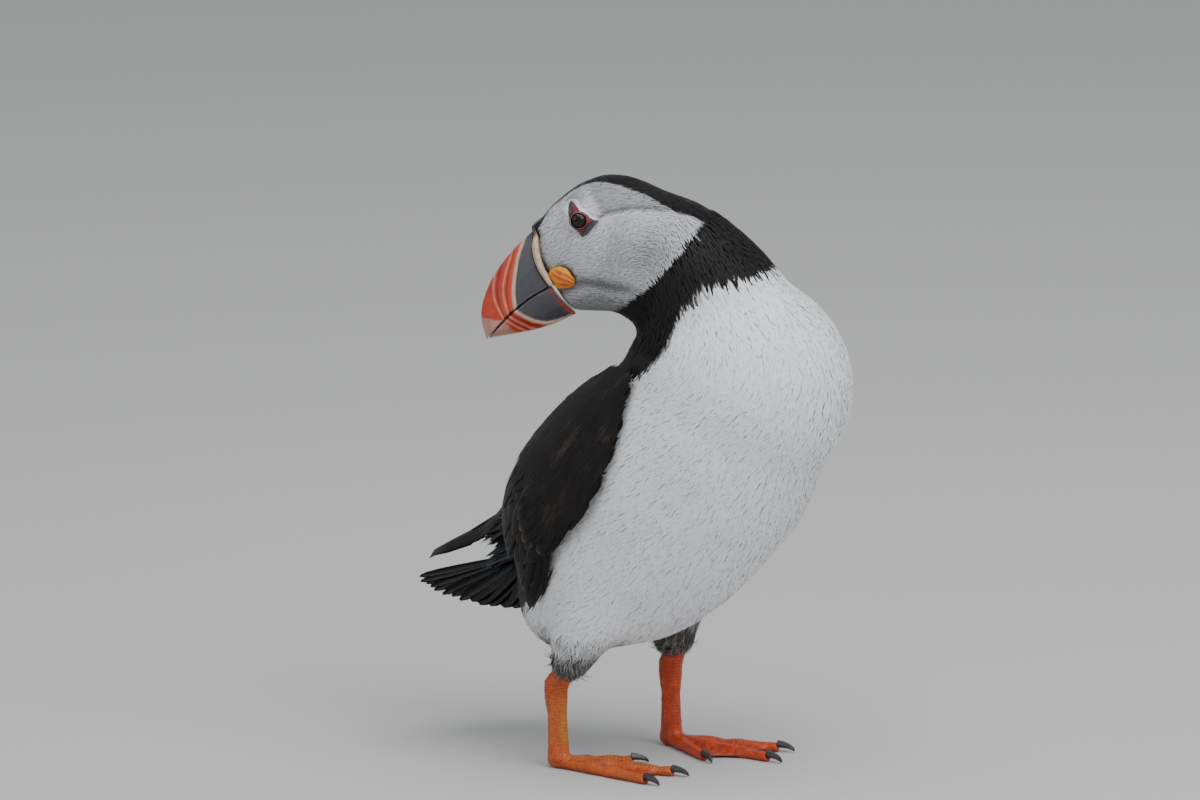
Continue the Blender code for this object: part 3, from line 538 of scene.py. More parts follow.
def vanes(name, spine, normals, heights, widths, section, colours, cup=0.22, bake=None, lie=False):
    """Joins many vanes into one mesh. Each has a spine of points with normals, and a section that is closed at
    both ends. The colours are one for each vane, or one for each point of its spine. The light falls on a vane as
    if it were cupped by the given share, or on its true shape where the cup is None."""
    count, steps = heights.shape
    along = unit(np.gradient(spine, axis=1))
    side = unit(np.cross(normals, along))
    upright = unit(np.cross(along, side))
    places, facing, shade, flat = [], [], [], []
    tint = colours if colours.ndim == 3 else np.repeat(colours[:, None], steps, 1)
    for k in range(steps):
        for across, lift in ((0.0, 0.0),) if k in (0, steps - 1) else section:
            out = heights[:, k] + lift * widths[:, k]
            sideways = across * widths[:, k] / 2
            places.append(spine[:, k] + side[:, k] * sideways[:, None] + normals[:, k] * out[:, None])
            way = -1.0 if lift < 0 else 1.0
            facing.append(unit(way * upright[:, k] + side[:, k] * across * (cup or 0.0)))
            # Each vane's side edges are painted a little darker, as painted shade between neighbouring vanes.
            shade.append(tint[:, k] * (0.93 if abs(across) > 0.9 else 1.0))
            flat.append((across * 0.5, k / (steps - 1) - 0.5))
    each = len(places)
    places, shade, facing = (np.stack(parts, 1).reshape(-1, 3) for parts in (places, shade, facing))
    corners, sizes = vane_faces(steps, len(section))
    loops = (corners[None] + np.arange(count)[:, None] * each).ravel()
    sizes = np.tile(sizes, count)
    mesh = bpy.data.meshes.new(name)
    mesh.vertices.add(len(places))
    mesh.vertices.foreach_set("co", places.ravel())
    mesh.loops.add(len(loops))
    mesh.loops.foreach_set("vertex_index", loops.astype(np.int32))
    mesh.polygons.add(len(sizes))
    mesh.polygons.foreach_set("loop_start", (np.cumsum(sizes) - sizes).astype(np.int32))
    mesh.polygons.foreach_set("use_smooth", np.ones(len(sizes), bool))
    mesh.update(calc_edges=True)
    mesh.validate()
    paint(mesh, "plumage", shade)
    spots = np.array(flat)[corners][None]
    if bake is not None:
        patches = bake[:, None] + spots * BAKE_PATCH
        mesh.uv_layers.new(name="OFBake").data.foreach_set("uv", patches.ravel())
    if lie:
        length = np.linalg.norm(np.diff(spine, axis=1), axis=2).sum(1)
        spots = np.stack((spots[..., 0] * widths.max(1)[:, None], spots[..., 1] * length[:, None]), 2)
        mesh.uv_layers.new(name="vane lie").data.foreach_set("uv", spots.ravel())
    if cup is not None:
        mesh.normals_split_custom_set_from_vertices(facing.astype(np.float32))
    made = bpy.data.objects.new(name, mesh)
    bpy.context.scene.collection.objects.link(made)
    return made


def strewing_tree():
    """Geometry nodes that strew even, unordered places over a surface where a mask is set."""
    tree = bpy.data.node_groups.new("strew roots", "GeometryNodeTree")
    tree.interface.new_socket("Geometry", in_out="INPUT", socket_type="NodeSocketGeometry")
    for label, kind in (("Mask", "NodeSocketString"), ("Gap", "NodeSocketFloat"), ("Seed", "NodeSocketInt")):
        tree.interface.new_socket(label, in_out="INPUT", socket_type=kind)
    tree.interface.new_socket("Geometry", in_out="OUTPUT", socket_type="NodeSocketGeometry")
    start, end = tree.nodes.new("NodeGroupInput"), tree.nodes.new("NodeGroupOutput")
    read = tree.nodes.new("GeometryNodeInputNamedAttribute")
    strew = tree.nodes.new("GeometryNodeDistributePointsOnFaces")
    strew.distribute_method = "POISSON"
    to_verts = tree.nodes.new("GeometryNodePointsToVertices")
    tree.links.new(start.outputs["Mask"], read.inputs["Name"])
    tree.links.new(start.outputs["Geometry"], strew.inputs["Mesh"])
    tree.links.new(start.outputs["Gap"], strew.inputs["Distance Min"])
    tree.links.new(start.outputs["Seed"], strew.inputs["Seed"])
    tree.links.new(read.outputs["Attribute"], strew.inputs["Density Factor"])
    strew.inputs["Density Max"].default_value = ROOTS_TRIED
    tree.links.new(strew.outputs["Points"], to_verts.inputs["Points"])
    tree.links.new(to_verts.outputs["Mesh"], end.inputs["Geometry"])
    return tree


strew_roots = strewing_tree()


def strewn(mask, gap, seed):
    """Root places over the skin where the mask is set, no two nearer than the gap."""
    work = bpy.data.objects.new("roots", skin.data.copy())
    bpy.context.scene.collection.objects.link(work)
    layer = work.data.attributes.new("mask", "FLOAT", "POINT")
    layer.data.foreach_set("value", mask.astype(np.float32))
    strewing = work.modifiers.new("strew", "NODES")
    strewing.node_group = strew_roots
    values = {"Mask": "mask", "Gap": gap, "Seed": seed}
    for socket in strew_roots.interface.items_tree:
        if socket.in_out == "INPUT" and socket.name in values:
            strewing[socket.identifier] = values[socket.name]
    roots = verts_of(settled(work).data)
    bpy.data.objects.remove(work)
    return roots


def traced(roots, way, length, steps, drift=0.0, hangs=False):
    """Walks from each root over the skin along the lie, and gives the spine's points and normals. A lock that
    hangs follows the skin for its first step only."""
    here, normal = onto_skin(roots)
    spine, normals = [here], [normal]
    for k in range(1, len(steps)):
        way = unit(way - normal * (way * normal).sum(1)[:, None])
        way = unit(way + np.cross(normal, way) * drift)
        here = here + way * (length * (steps[k] - steps[k - 1]))[:, None]
        if not hangs or k == 1:
            here, normal = onto_skin(here)
        spine.append(here)
        normals.append(normal)
    return np.stack(spine, 1), np.stack(normals, 1)


def coat_of(name, mask, seed, finish, hangs=False):
    """One field of tufts over the masked skin, in as many pieces as the count of tufts asks for."""
    chance = np.random.default_rng(seed)
    gap, length, width, looseness, lift = COAT_FIELDS[name]
    roots = strewn(mask, gap * FEWER, seed)
    lie = lie_of_coat(roots)
    _, normal = onto_skin(roots)
    turned = np.cross(normal, lie)
    lie = unit(lie + turned * chance.normal(0, looseness, (len(roots), 1)))
    lengths = length * chance.uniform(0.78, 1.2, len(roots))
    drift = chance.normal(0, looseness * 0.6, (len(roots), 1))
    spine, normals = traced(roots, lie, lengths, TUFT_STEPS, drift, hangs)
    depth = depth_of_coat(roots) * chance.uniform(0.93, 1.04, len(roots)) * lift
    heights = depth[:, None] * np.array(TUFT_LIFTS)[None]
    across = width * chance.uniform(0.75, 1.25, len(roots)) * (FEWER ** 0.8)
    across = across[:, None] * np.array(TUFT_WIDTHS)[None]
    colours = plumage(roots + normal * 0.001)
    colours = colours * chance.uniform(0.965, 1.02, (len(roots), 1))
    if hangs:
        pale = chance.uniform(0, 1, len(roots)) < HAIR_PALE_SHARE
        colours = mixed_rows(colours, HAIR_PALE, 0.75 * pale)
    # Each tuft darkens towards its root, partly as painted shade.
    colours = colours[:, None] * np.array(TUFT_DOWN_AND_SHADE_TONES)[None, :, None]
    bake = unwrap(roots)
    order = np.argsort(bake[:, 1])
    parts = np.array_split(order, max(1, math.ceil(len(order) / TUFTS_IN_PIECE)))
    for number, part in enumerate(parts):
        label = name if len(parts) == 1 else f"{name}_{number + 1}"
        piece = vanes(label, spine[part], normals[part], heights[part], across[part], TUFT_SECTION,
                      colours[part], bake=bake[part])
        piece.data.materials.append(finish)
        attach(piece, "root")


def inside_outline(points, outline):
    """True for flat points inside a closed outline."""
    inside = np.zeros(len(points), bool)
    line = np.asarray(outline)
    for first, second in zip(line, np.roll(line, -1, 0)):
        crosses = (first[1] > points[:, 1]) != (second[1] > points[:, 1])
        reach = (second[0] - first[0]) * (points[:, 1] - first[1]) / (second[1] - first[1] + 1e-12) + first[0]
        inside ^= crosses & (points[:, 0] < reach)
    return inside


def shell_of(mesh):
    """A mesh as a shell that a straight line can be tried against."""
    return BVHTree.FromPolygons([v.co for v in mesh.vertices], [p.vertices[:] for p in mesh.polygons])


def frame_shell(*sources):
    """The frame's own forms as such a shell."""
    solid = merged("shell", sources)
    shell = shell_of(solid.data)
    bpy.data.objects.remove(solid)
    return shell


def covered_by_wing(places, normals):
    """True where a wing lies over the skin with at least a few millimetres to spare all round."""
    shell = frame_shell("wing_left", "wing_right")
    hidden = np.ones(len(places), bool)
    sideways, lengthways = unit(np.cross(normals, trunk_way)) * WING_ROOM, trunk_way * WING_ROOM
    for shift in (sideways, -sideways, lengthways, -lengthways):
        starts = places + shift
        for k in np.nonzero(hidden)[0]:
            hidden[k] = shell.ray_cast(Vector(starts[k]), Vector(normals[k]), WING_OVER)[0] is not None
    return hidden


skin_head, skin_neck, skin_leg = body_shares(skin_places)
skin_local = on_head(skin_places)
forward, aside, over = skin_local.T
skin_dark = SET_OUT[1] - skin_places[:, 1] < table(skin_places[:, 2], BACK_EDGE)
under_wing = covered_by_wing(skin_places, skin_normals) & (along_trunk(skin_places)[0] > WING_COVER_END)
by_head = np.linalg.norm(skin_local, axis=1) < HEAD_ZONE
bill_bed = (forward > table(over, BILL_BED)) & by_head
flat_face = skin_local[:, (0, 2)]
eye_bed = inside_outline(flat_face, EYE_BED) | inside_outline(flat_face - np.array(EYE_BED_SLIDE), EYE_BED)
eye_bed &= np.abs(aside) > EYE_BED_ASIDE
above_collar = over > CHEEK_EDGE_UP - COLLAR_OVERLAP + CHEEK_EDGE_SLOPE * forward
cheek_zone = above_collar & by_head & (forward > NAPE_END)
bare = bill_bed | eye_bed
on_face = ((skin_head > 0.12) | cheek_zone) & ~bare
on_leg = (skin_leg > 0.4) & ~on_face
on_neck = (skin_neck > 0.55) & skin_dark & ~on_face & ~on_leg & ~bare
rest = ~on_face & ~on_neck & ~on_leg & ~under_wing & ~bare
cuff = (skin_leg > 0.3) & (skin_places[:, 2] > CUFF_ZONE[0]) & (skin_places[:, 2] < CUFF_ZONE[1])
coat_of("coat_head", on_face, 3, white_finish)
coat_of("coat_neck", on_neck, 5, black_finish)
coat_of("coat_body", rest & ~skin_dark, 7, white_finish)
coat_of("coat_back", rest & skin_dark, 9, black_finish)
coat_of("coat_thighs", on_leg, 11, white_finish)
coat_of("coat_cuffs", cuff, 13, white_finish, hangs=True)


# THE WINGS. Each is folded flat on the side: short coverts in staggered rows over the longer secondaries and
# tertials, with the primaries' tips showing past them. They are stiff dark vanes with a shaft and barbs, laid
# over the carved wing's own surface, with soft short down where they are set.
WING_DARK = (0.0062, 0.0050, 0.0046)
# The wing's upper front: blacker and less brown than the rest, and a little lighter as a painted highlight.
WING_SHOULDER = (0.0072, 0.0068, 0.0072)
# The feathers' own paler edges, and the painted sheen streaks on the down.
WING_PALE_EDGE_AND_SHEEN = (0.060, 0.045, 0.036)
# Places along the trunk, with the wing's lower and upper edge there in degrees round it.
WING_OUTLINE = {
    "right": ((0.0420, 133, 141), (0.0340, 121, 152), (0.0200, 107, 160), (0.0, 99, 165), (-0.0200, 98, 168),
              (-0.0360, 93, 168), (-0.0430, 88, 150), (-0.0500, 82, 112), (-0.0580, 76, 88)),
    "left": ((0.0420, 133, 141), (0.0340, 121, 152), (0.0200, 107, 160), (0.0, 99, 165), (-0.0200, 98, 168),
             (-0.0360, 112, 176), (-0.0500, 134, 180), (-0.0640, 150, 181), (-0.0780, 162, 181),
             (-0.0920, 177, 181)),
}
# Each row's place along the trunk, and its feathers' length and width.
COVERT_ROWS = ((0.0395, 0.0085, 0.0052), (0.0355, 0.0090, 0.0054), (0.0312, 0.0095, 0.0056),
               (0.0268, 0.0100, 0.0058), (0.0222, 0.0105, 0.0060), (0.0174, 0.0110, 0.0062),
               (0.0124, 0.0115, 0.0064), (0.0072, 0.0120, 0.0066), (0.0018, 0.0130, 0.0068),
               (-0.0038, 0.0140, 0.0070), (-0.0096, 0.0150, 0.0074), (-0.0156, 0.0160, 0.0078))
COVERT_SPACING = 0.58
VANE_STEPS = np.array((0.0, 0.14, 0.32, 0.52, 0.72, 0.86, 0.95, 1.0))
VANE_WIDTHS = np.array((0.0, 0.72, 0.95, 1.0, 0.90, 0.68, 0.38, 0.0))
VANE_SECTION = ((-1.0, 0.0), (-0.5, 0.022), (0.0, 0.036), (0.5, 0.022), (1.0, 0.0), (0.0, -0.028))
WING_GRID = (90, 60)
WING_ANGLES = (60, 196)
WING_REACH = 0.049
WING_CAST_FROM = 0.09
WING_CAST = 0.075
DOWN_GAP = 0.00095
DOWN_LENGTH = 0.0078
DOWN_WIDTH = 0.0017
DOWN_LIFTS = (0.00005, 0.00042, 0.00062, 0.00058)
DOWN_ENDS = (-0.0020, -0.0250)
FAR_TIP_ROLL = math.radians(42)


def feather_finish(name, roughness):
    """A stiff feather: its stored colour, and slanted barbs on both sides of the shaft."""
    made, node, surface = shader(name)
    stored = node("ShaderNodeAttribute", attribute_name="plumage")
    spot = node("ShaderNodeUVMap", uv_map="vane lie")
    parts = node("ShaderNodeSeparateXYZ", spot.outputs["UV"])
    off_shaft = node("ShaderNodeMath", parts.outputs["X"], operation="ABSOLUTE")
    slant = node("ShaderNodeMath", off_shaft.outputs[0], -1.3, parts.outputs["Y"], operation="MULTIPLY_ADD")
    place = node("ShaderNodeCombineXYZ", Y=slant.outputs[0])
    barbs = node("ShaderNodeTexNoise", Vector=place.outputs["Vector"], Scale=2600.0, Detail=2.0)
    uneven = node("ShaderNodeGroup", node_tree=cloudy, Tint=stored.outputs["Color"], Scale=160.0, Darkest=0.75,
                  Lightest=1.3, Grain_Scale=2600.0)
    shaft = node("ShaderNodeMapRange", Value=off_shaft.outputs[0], From_Min=0.0, From_Max=0.00035, To_Min=1.35,
                 To_Max=1.0)
    streak = node("ShaderNodeMapRange", Value=barbs.outputs["Fac"], From_Min=0.3, From_Max=0.7, To_Min=0.72,
                  To_Max=1.3)
    both = node("ShaderNodeMath", shaft.outputs["Result"], streak.outputs["Result"], operation="MULTIPLY")
    tone = node("ShaderNodeVectorMath", uneven.outputs["Color"], operation="SCALE", Scale=both.outputs[0])
    bump = node("ShaderNodeBump", Height=barbs.outputs["Fac"], Strength=0.35, Distance=BARB_DEPTH)
    surface(Base_Color=tone.outputs["Vector"], Normal=bump.outputs["Normal"], Roughness=roughness,
            Specular_IOR_Level=0.16, Sheen_Weight=0.04)
    return made


feather_black = feather_finish("wing and tail feathers", 0.56)


def wing_form(side):
    """The wing's outer surface as distances from the trunk's axis, on an even grid along and round it."""
    sign = 1.0 if side == "left" else -1.0
    outline = WING_OUTLINE[side]
    shell = frame_shell("wing_" + side)
    along = np.linspace(outline[0][0] + 0.004, outline[-1][0] - 0.006, WING_GRID[0])
    turns = np.radians(np.linspace(*WING_ANGLES, WING_GRID[1]))
    reach = np.full(WING_GRID, np.nan)
    for i, distance in enumerate(along):
        for j, turn in enumerate(turns):
            out = trunk_belly * math.cos(turn) + np.array((sign * math.sin(turn), 0.0, 0.0))
            start = TRUNK_MIDDLE + trunk_way * distance + out * WING_CAST_FROM
            hit = shell.ray_cast(Vector(start), Vector(-out), WING_CAST)
            if hit[0] is not None:
                reach[i, j] = WING_CAST_FROM - hit[3]
    for _ in range(400):
        gaps = np.isnan(reach)
        if not gaps.any():
            break
        padded = np.pad(reach, 1, constant_values=np.nan)
        near = np.stack((padded[:-2, 1:-1], padded[2:, 1:-1], padded[1:-1, :-2], padded[1:-1, 2:]))
        known = ~np.isnan(near)
        total = np.where(known, near, 0).sum(0)
        reach = np.where(gaps & known.any(0), total / np.maximum(known.sum(0), 1), reach)
    for _ in range(3):
        padded = np.pad(reach, 1, mode="edge")
        reach = (padded[:-2, 1:-1] + padded[2:, 1:-1] + padded[1:-1, :-2] + padded[1:-1, 2:] + 2 * reach) / 6

    def place(distance, turn):
        """The surface at a distance along the trunk and an angle round it."""
        i = np.clip((distance - along[0]) / (along[1] - along[0]), 0, WING_GRID[0] - 1.001)
        j = np.clip((turn - turns[0]) / (turns[1] - turns[0]), 0, WING_GRID[1] - 1.001)
        i0, j0 = i.astype(int), j.astype(int)
        u, v = i - i0, j - j0
        far = (reach[i0, j0] * (1 - u) * (1 - v) + reach[i0 + 1, j0] * u * (1 - v)
               + reach[i0, j0 + 1] * (1 - u) * v + reach[i0 + 1, j0 + 1] * u * v)
        out = trunk_belly * np.cos(turn)[..., None] + np.array((sign, 0, 0)) * np.sin(turn)[..., None]
        return TRUNK_MIDDLE + trunk_way * distance[..., None] + out * far[..., None]

    def facing(distance, turn):
        """The way that the surface faces there."""
        step, swing = 0.002, 0.05
        down = place(distance + step, turn) - place(distance - step, turn)
        across = place(distance, turn + swing) - place(distance, turn - swing)
        return unit(np.cross(across, down) * sign)

    return place, facing


def edge_at(side, distance, upper):
    """The wing's lower or upper edge, as an angle round the trunk, in degrees."""
    return table(distance, [(row[0], row[2 if upper else 1]) for row in WING_OUTLINE[side]])


def wing_feathers(side):
    """Every feather of one wing as (start, end, start angle, end angle, width, lift, tone)."""
    chance = np.random.default_rng(21 if side == "left" else 22)
    lean = 2.0 if side == "left" else -2.0
    rows = []
    for number, (start, length, width) in enumerate(COVERT_ROWS):
        low, high = edge_at(side, start, False), edge_at(side, start, True)
        spacing = math.degrees(width * COVERT_SPACING / WING_REACH)
        count = max(2, int((high - low) / spacing))
        for k in range(count + 1):
            turn = low + (high - low) * (k + 0.5 * (number % 2)) / count
            if turn < high - 5:
                turn += chance.normal(0, 0.5)
                reach = length * 1.25 * chance.uniform(0.90, 1.10)
                rows.append((start, start - reach, turn + 0.8, turn + lean, width, 0.0, 0.0))
    if side == "right":
        # Broad inner flight feathers low on the flank, then the long ones over them, the short outer tips and
        # the loose hair-fine shreds of the wing's end.
        for k in range(5):
            tip = -0.0335 + 0.0015 * abs(k - 2)
            rows.append((-0.014, tip, 99 + 5.5 * k, 98.0 + 5.0 * k, 0.0074, 0.10, 0.6))
        for turn in np.arange(118, 170, 4.6):
            tip = table(turn, [(168, -0.0385), (150, -0.0425), (130, -0.0455), (112, -0.0495)])
            rows.append((-0.018, tip, turn, turn - 4, 0.0082, 0.0, 0.2))
        for k in range(7):
            rows.append((-0.022, -0.0535 + 0.0014 * k, 97 + 4.2 * k, 81 + 3.4 * k, 0.0056, -0.35, 0.45))
        for k in range(60):
            start, turn = chance.uniform(-0.041, -0.026), chance.uniform(-3, 12)
            turn += table(start, [(-0.041, 84), (-0.026, 93)])
            rows.append((start, start - chance.uniform(0.012, 0.018), turn, turn - chance.uniform(2, 7),
                         chance.uniform(0.0005, 0.0010), chance.uniform(-0.45, 0.0), chance.uniform(0, 1)))
    else:
        # The inner flight feathers, then the long outer ones that end past the tail, narrow and wide by turns.
        for turn in np.arange(112, 172, 4.6):
            tip = table(turn, [(112, -0.036), (134, -0.050), (172, -0.054)])
            rows.append((-0.018, tip, turn, turn + 5, 0.0082, 0.0, 0.2))
        for k in np.arange(0, 9, 0.5):
            tip = -0.0925 + 0.0022 * k + 0.00030 * k * k + 0.0060 * (k % 1)
            rows.append((-0.026, tip, 170 - 4.4 * k, 178.6 - 4.0 * k, 0.0088, -0.15 - 0.4 * (k % 1), 0.3))
    return rows


def build_wing(side):
    """One wing, as a single piece of joined feathers."""
    chance = np.random.default_rng(31)
    place, facing = wing_form(side)
    rows = np.array(wing_feathers(side))
    t = VANE_STEPS[None]
    distance = rows[:, 0:1] + (rows[:, 1:2] - rows[:, 0:1]) * t
    turn = np.radians(rows[:, 2:3] + (rows[:, 3:4] - rows[:, 2:3]) * t**1.3)
    spine, normals = place(distance, turn), facing(distance, turn)
    normals = unit(normals + np.roll(normals, 1, 1) * 0.5 + np.roll(normals, -1, 1) * 0.5)
    normals[:, 0], normals[:, -1] = normals[:, 1], normals[:, -2]
    tip_lift = 0.00015 + rows[:, 5:6] * 0.001 + chance.normal(0, 0.00004, (len(rows), 1))
    heights = -0.00045 + (tip_lift + 0.00045) * t + 0.00006 * (rows[:, 2:3] % 2 > 1)
    if side == "left":
        roll = (FAR_TIP_ROLL * fade(-distance, 0.046, 0.070) * fade(-rows[:, 1:2], 0.070, 0.086))[..., None]
        run = unit(np.gradient(spine, axis=1))
        normals = normals * np.cos(roll) - np.cross(run, normals) * np.sin(roll)
    widths = rows[:, 4:5] * VANE_WIDTHS[None] * chance.uniform(0.94, 1.06, (len(rows), 1))
    # Partly a painted highlight: the upper front of the wing is tinted lighter and greyer.
    shoulder = fade(distance, -0.010, 0.030) * fade(np.degrees(turn), 120, 150)
    colours = mixed(WING_DARK, WING_SHOULDER, shoulder)
    rim = np.clip(fade(t, 0.84, 0.98) * (0.25 + 1.2 * rows[:, 6:7]), 0, 1)
    colours = mixed_rows(colours, WING_PALE_EDGE_AND_SHEEN, rim)
    colours = colours * chance.uniform(0.8, 1.2, (len(rows), 1))[..., None]
    wing = vanes("wing_feathers_" + side, spine, normals, heights, widths, VANE_SECTION, colours, cup=None,
                 lie=True)
    wing.data.materials.append(feather_black)
    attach(wing, "root")
    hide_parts("wing_" + side)


def build_down(side):
    """The short soft feathers over the front and middle of one wing, which hide where the coverts are set."""
    chance = np.random.default_rng(33 if side == "left" else 34)
    place, facing = wing_form(side)
    gap = DOWN_GAP * FEWER
    starts, turns = [], []
    for start in np.arange(WING_OUTLINE[side][0][0] + 0.0005, DOWN_ENDS[1], -gap):
        low, high = edge_at(side, start, False), edge_at(side, start, True)
        row = np.arange(low + 0.6, high - 0.6, math.degrees(gap / WING_REACH))
        kept = chance.uniform(0, 1, len(row)) < fade(np.full(len(row), start), DOWN_ENDS[1], DOWN_ENDS[0])
        row = row[kept] + chance.normal(0, 0.4, kept.sum())
        turns.extend(row)
        starts.extend(start + chance.normal(0, 0.0004, len(row)))
    starts, turns = np.array(starts)[:, None], np.array(turns)[:, None]
    t = np.array(TUFT_STEPS)[None]
    lengths = DOWN_LENGTH * chance.uniform(0.8, 1.3, starts.shape)
    lean = (2.0 if side == "left" else -2.0) + chance.normal(0, 1.4, starts.shape)
    distance, turn = starts - lengths * t, np.radians(turns + lean * t)
    spine, normals = place(distance, turn), facing(distance, turn)
    heights = np.array(DOWN_LIFTS)[None] + chance.normal(0, 0.00006, starts.shape)
    widths = DOWN_WIDTH * chance.uniform(0.7, 1.3, starts.shape) * FEWER * np.array(TUFT_WIDTHS)[None]
    # Partly a painted highlight: the down over the wing's upper front is tinted lighter and greyer.
    tone = fade(starts, -0.010, 0.030) * fade(turns, 120, 150)
    colours = mixed(WING_DARK, WING_SHOULDER, tone[:, 0])
    # Painted highlight: pale streaks of sheen over the down.
    sheen_streak = np.clip(wander(spine[:, 0] * np.array((1.0, 0.35, 0.35)), 0.0011, 4.0) - 0.35, 0, 1)
    colours = mixed_rows(colours, WING_PALE_EDGE_AND_SHEEN, 0.7 * sheen_streak) * chance.uniform(0.7, 1.35, (len(starts), 1))
    down = vanes("wing_down_" + side, spine, normals, heights, widths, TUFT_SECTION, colours,
                 bake=unwrap(spine[:, 0]), lie=True)
    down.data.materials.append(feather_black)
    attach(down, "root")


for build in (build_wing, build_down):
    for side in ("left", "right"):
        build(side)


# THE TAIL. Sixteen stiff black feathers with paler ends in a short fan, set in the rump. They overlap in turn,
# arch a little over the middle, and are a little shorter to the sides.
TAIL_ROOT = (-0.00004, 0.03614, 0.0785)
TAIL_DROP = math.radians(25)
TAIL_ROLL = math.radians(35)
TAIL_SWING = math.radians(22)
TAIL_HALF_SPREAD = math.radians(39)
TAIL_FEATHERS = 16
TAIL_LENGTH = 0.056
TAIL_START = 0.006
TAIL_SHORTER_OUTSIDE = 0.07
TAIL_ARCH = 0.004
TAIL_FEATHER_WIDTH = 0.0078
TAIL_STEPS = np.array((0.0, 0.12, 0.28, 0.45, 0.62, 0.78, 0.90, 0.97, 1.0))
TAIL_WIDTHS = np.array((0.0, 0.45, 0.62, 0.8, 0.95, 1.0, 0.86, 0.5, 0.0))
TAIL_INSET = 0.03
TAIL_TILT = 0.16
TAIL_STAGGER = 0.0002
TAIL_BLACK = (0.0068, 0.0070, 0.0084)
TAIL_EDGE = (0.013, 0.013, 0.015)

tail_back = Vector((0.0, math.cos(TAIL_DROP), -math.sin(TAIL_DROP)))
tail_right = Vector((-1.0, 0.0, 0.0))
tail_basis = Matrix((tail_back, tail_right, tail_back.cross(tail_right))).transposed()
tail_turns = tail_basis @ Matrix.Rotation(TAIL_ROLL, 3, "X") @ Matrix.Rotation(-TAIL_SWING, 3, "Z")
tail_axes = np.array(tail_turns.transposed())
across = ((np.arange(TAIL_FEATHERS) + 0.5) / TAIL_FEATHERS * 2 - 1)[:, None]
tail_chance = np.random.default_rng(41)
one_each = (TAIL_FEATHERS, 1)
angle = across * (TAIL_HALF_SPREAD - TAIL_INSET) + tail_chance.normal(0, 0.006, one_each)
length = TAIL_LENGTH * (1 - TAIL_SHORTER_OUTSIDE * across**2) * tail_chance.uniform(0.975, 1.0, one_each)
t = TAIL_STEPS[None]
reach = TAIL_START + (length - TAIL_START) * t
rise = TAIL_ARCH * (1 - across**2) * (0.4 + 0.6 * t) - 0.00035 * np.abs(across) * 3 * (1 - t)
local = np.stack((reach * np.cos(angle), reach * np.sin(angle), rise), 2)
tail_spine = local @ tail_axes + np.array(TAIL_ROOT)
level = np.zeros_like(reach)
tail_normals = unit(np.stack((level, level + np.sign(across) * TAIL_TILT, level + 1), 2)) @ tail_axes
tail_widths = TAIL_FEATHER_WIDTH * TAIL_WIDTHS[None] + level
tail_heights = level + (np.arange(TAIL_FEATHERS) % 2)[:, None] * TAIL_STAGGER
tail_colours = mixed(TAIL_BLACK, TAIL_EDGE, fade(t + level, 0.85, 1.0))
tail_fan = vanes("tail_feathers", tail_spine, tail_normals, tail_heights, tail_widths, VANE_SECTION,
                 tail_colours, cup=0.3, lie=True)
tail_fan.data.materials.append(feather_black)
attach(tail_fan, "root")
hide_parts("tail")

# THE RUMP. Loose soft feathers, black and bluish grey, that fill the hollow between the wings' tips and the
# tail. They are tufts of the coat, larger and set free of the skin.
RUMP_MIDDLE = (0.0, 0.0395, 0.0850)
RUMP_SPREAD = (0.0085, 0.0010, 0.0085)
RUMP_GREY = (0.040, 0.050, 0.058)
RUMP_FEATHERS = 260
RUMP_LENGTHS = (0.014, 0.0210)
RUMP_WIDTHS = (0.0022, 0.0042)
chance = np.random.default_rng(47)
one_each = (RUMP_FEATHERS, 1)
fluff_roots = np.array(RUMP_MIDDLE) + np.array(RUMP_SPREAD) * chance.uniform(-1, 1, (RUMP_FEATHERS, 3))
drop = chance.uniform(0.0, 0.40, one_each) + np.linspace(0, 0.30, len(TUFT_STEPS))[None]
level = np.zeros_like(drop)
fluff_way = np.stack((chance.normal(0, 0.22, one_each) + level, np.cos(drop), -np.sin(drop)), 2)
fluff_reach = chance.uniform(*RUMP_LENGTHS, one_each) * np.array(TUFT_STEPS)[None]
fluff_spine = fluff_roots[:, None] + fluff_way * fluff_reach[..., None]
fluff_normals = unit(np.stack((chance.normal(-0.5, 0.6, one_each) + level, np.sin(drop), np.cos(drop)), 2))
fluff_widths = chance.uniform(*RUMP_WIDTHS, one_each) * np.array(TUFT_WIDTHS)[None]
fluff_colours = mixed(TAIL_BLACK, RUMP_GREY, np.clip(chance.normal(0.35, 0.35, RUMP_FEATHERS), 0, 1))
rump_fluff = vanes("rump_fluff", fluff_spine, fluff_normals, level, fluff_widths, TUFT_SECTION, fluff_colours,
                   bake=unwrap(fluff_roots))
rump_fluff.data.materials.append(black_finish)
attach(rump_fluff, "root")


# THE BILL. Two horny sheaths over bone: a slate plate next to the face, a cream rib, then red horn with shallow
# grooves. The horn is cast from the carved bill, its grooves are cut in, and it is tinted band by band and
# lightly waxed.
HORN_GRAIN = 0.00036
PLATE_SLATE = (0.038, 0.042, 0.052)
PLATE_PALE = (0.085, 0.076, 0.086)
HORN_CREAM = (0.50, 0.33, 0.24)
HORN_RED = (0.42, 0.018, 0.006)
HORN_ORANGE = (0.52, 0.055, 0.012)
# Painted shade in the grooves, and a painted highlight on the ridge just past each groove.
GROOVE_SHADE_RED = (0.26, 0.012, 0.008)
RIDGE_HIGHLIGHT = (0.72, 0.30, 0.20)
TIP_PALE = (0.48, 0.27, 0.22)
RIB_MIDDLE = (0.0008, -0.0170)
UPPER_SLATE = 0.0417
RIB_HALF = 0.0008
UPPER_GROOVES = (0.0452, 0.0489)
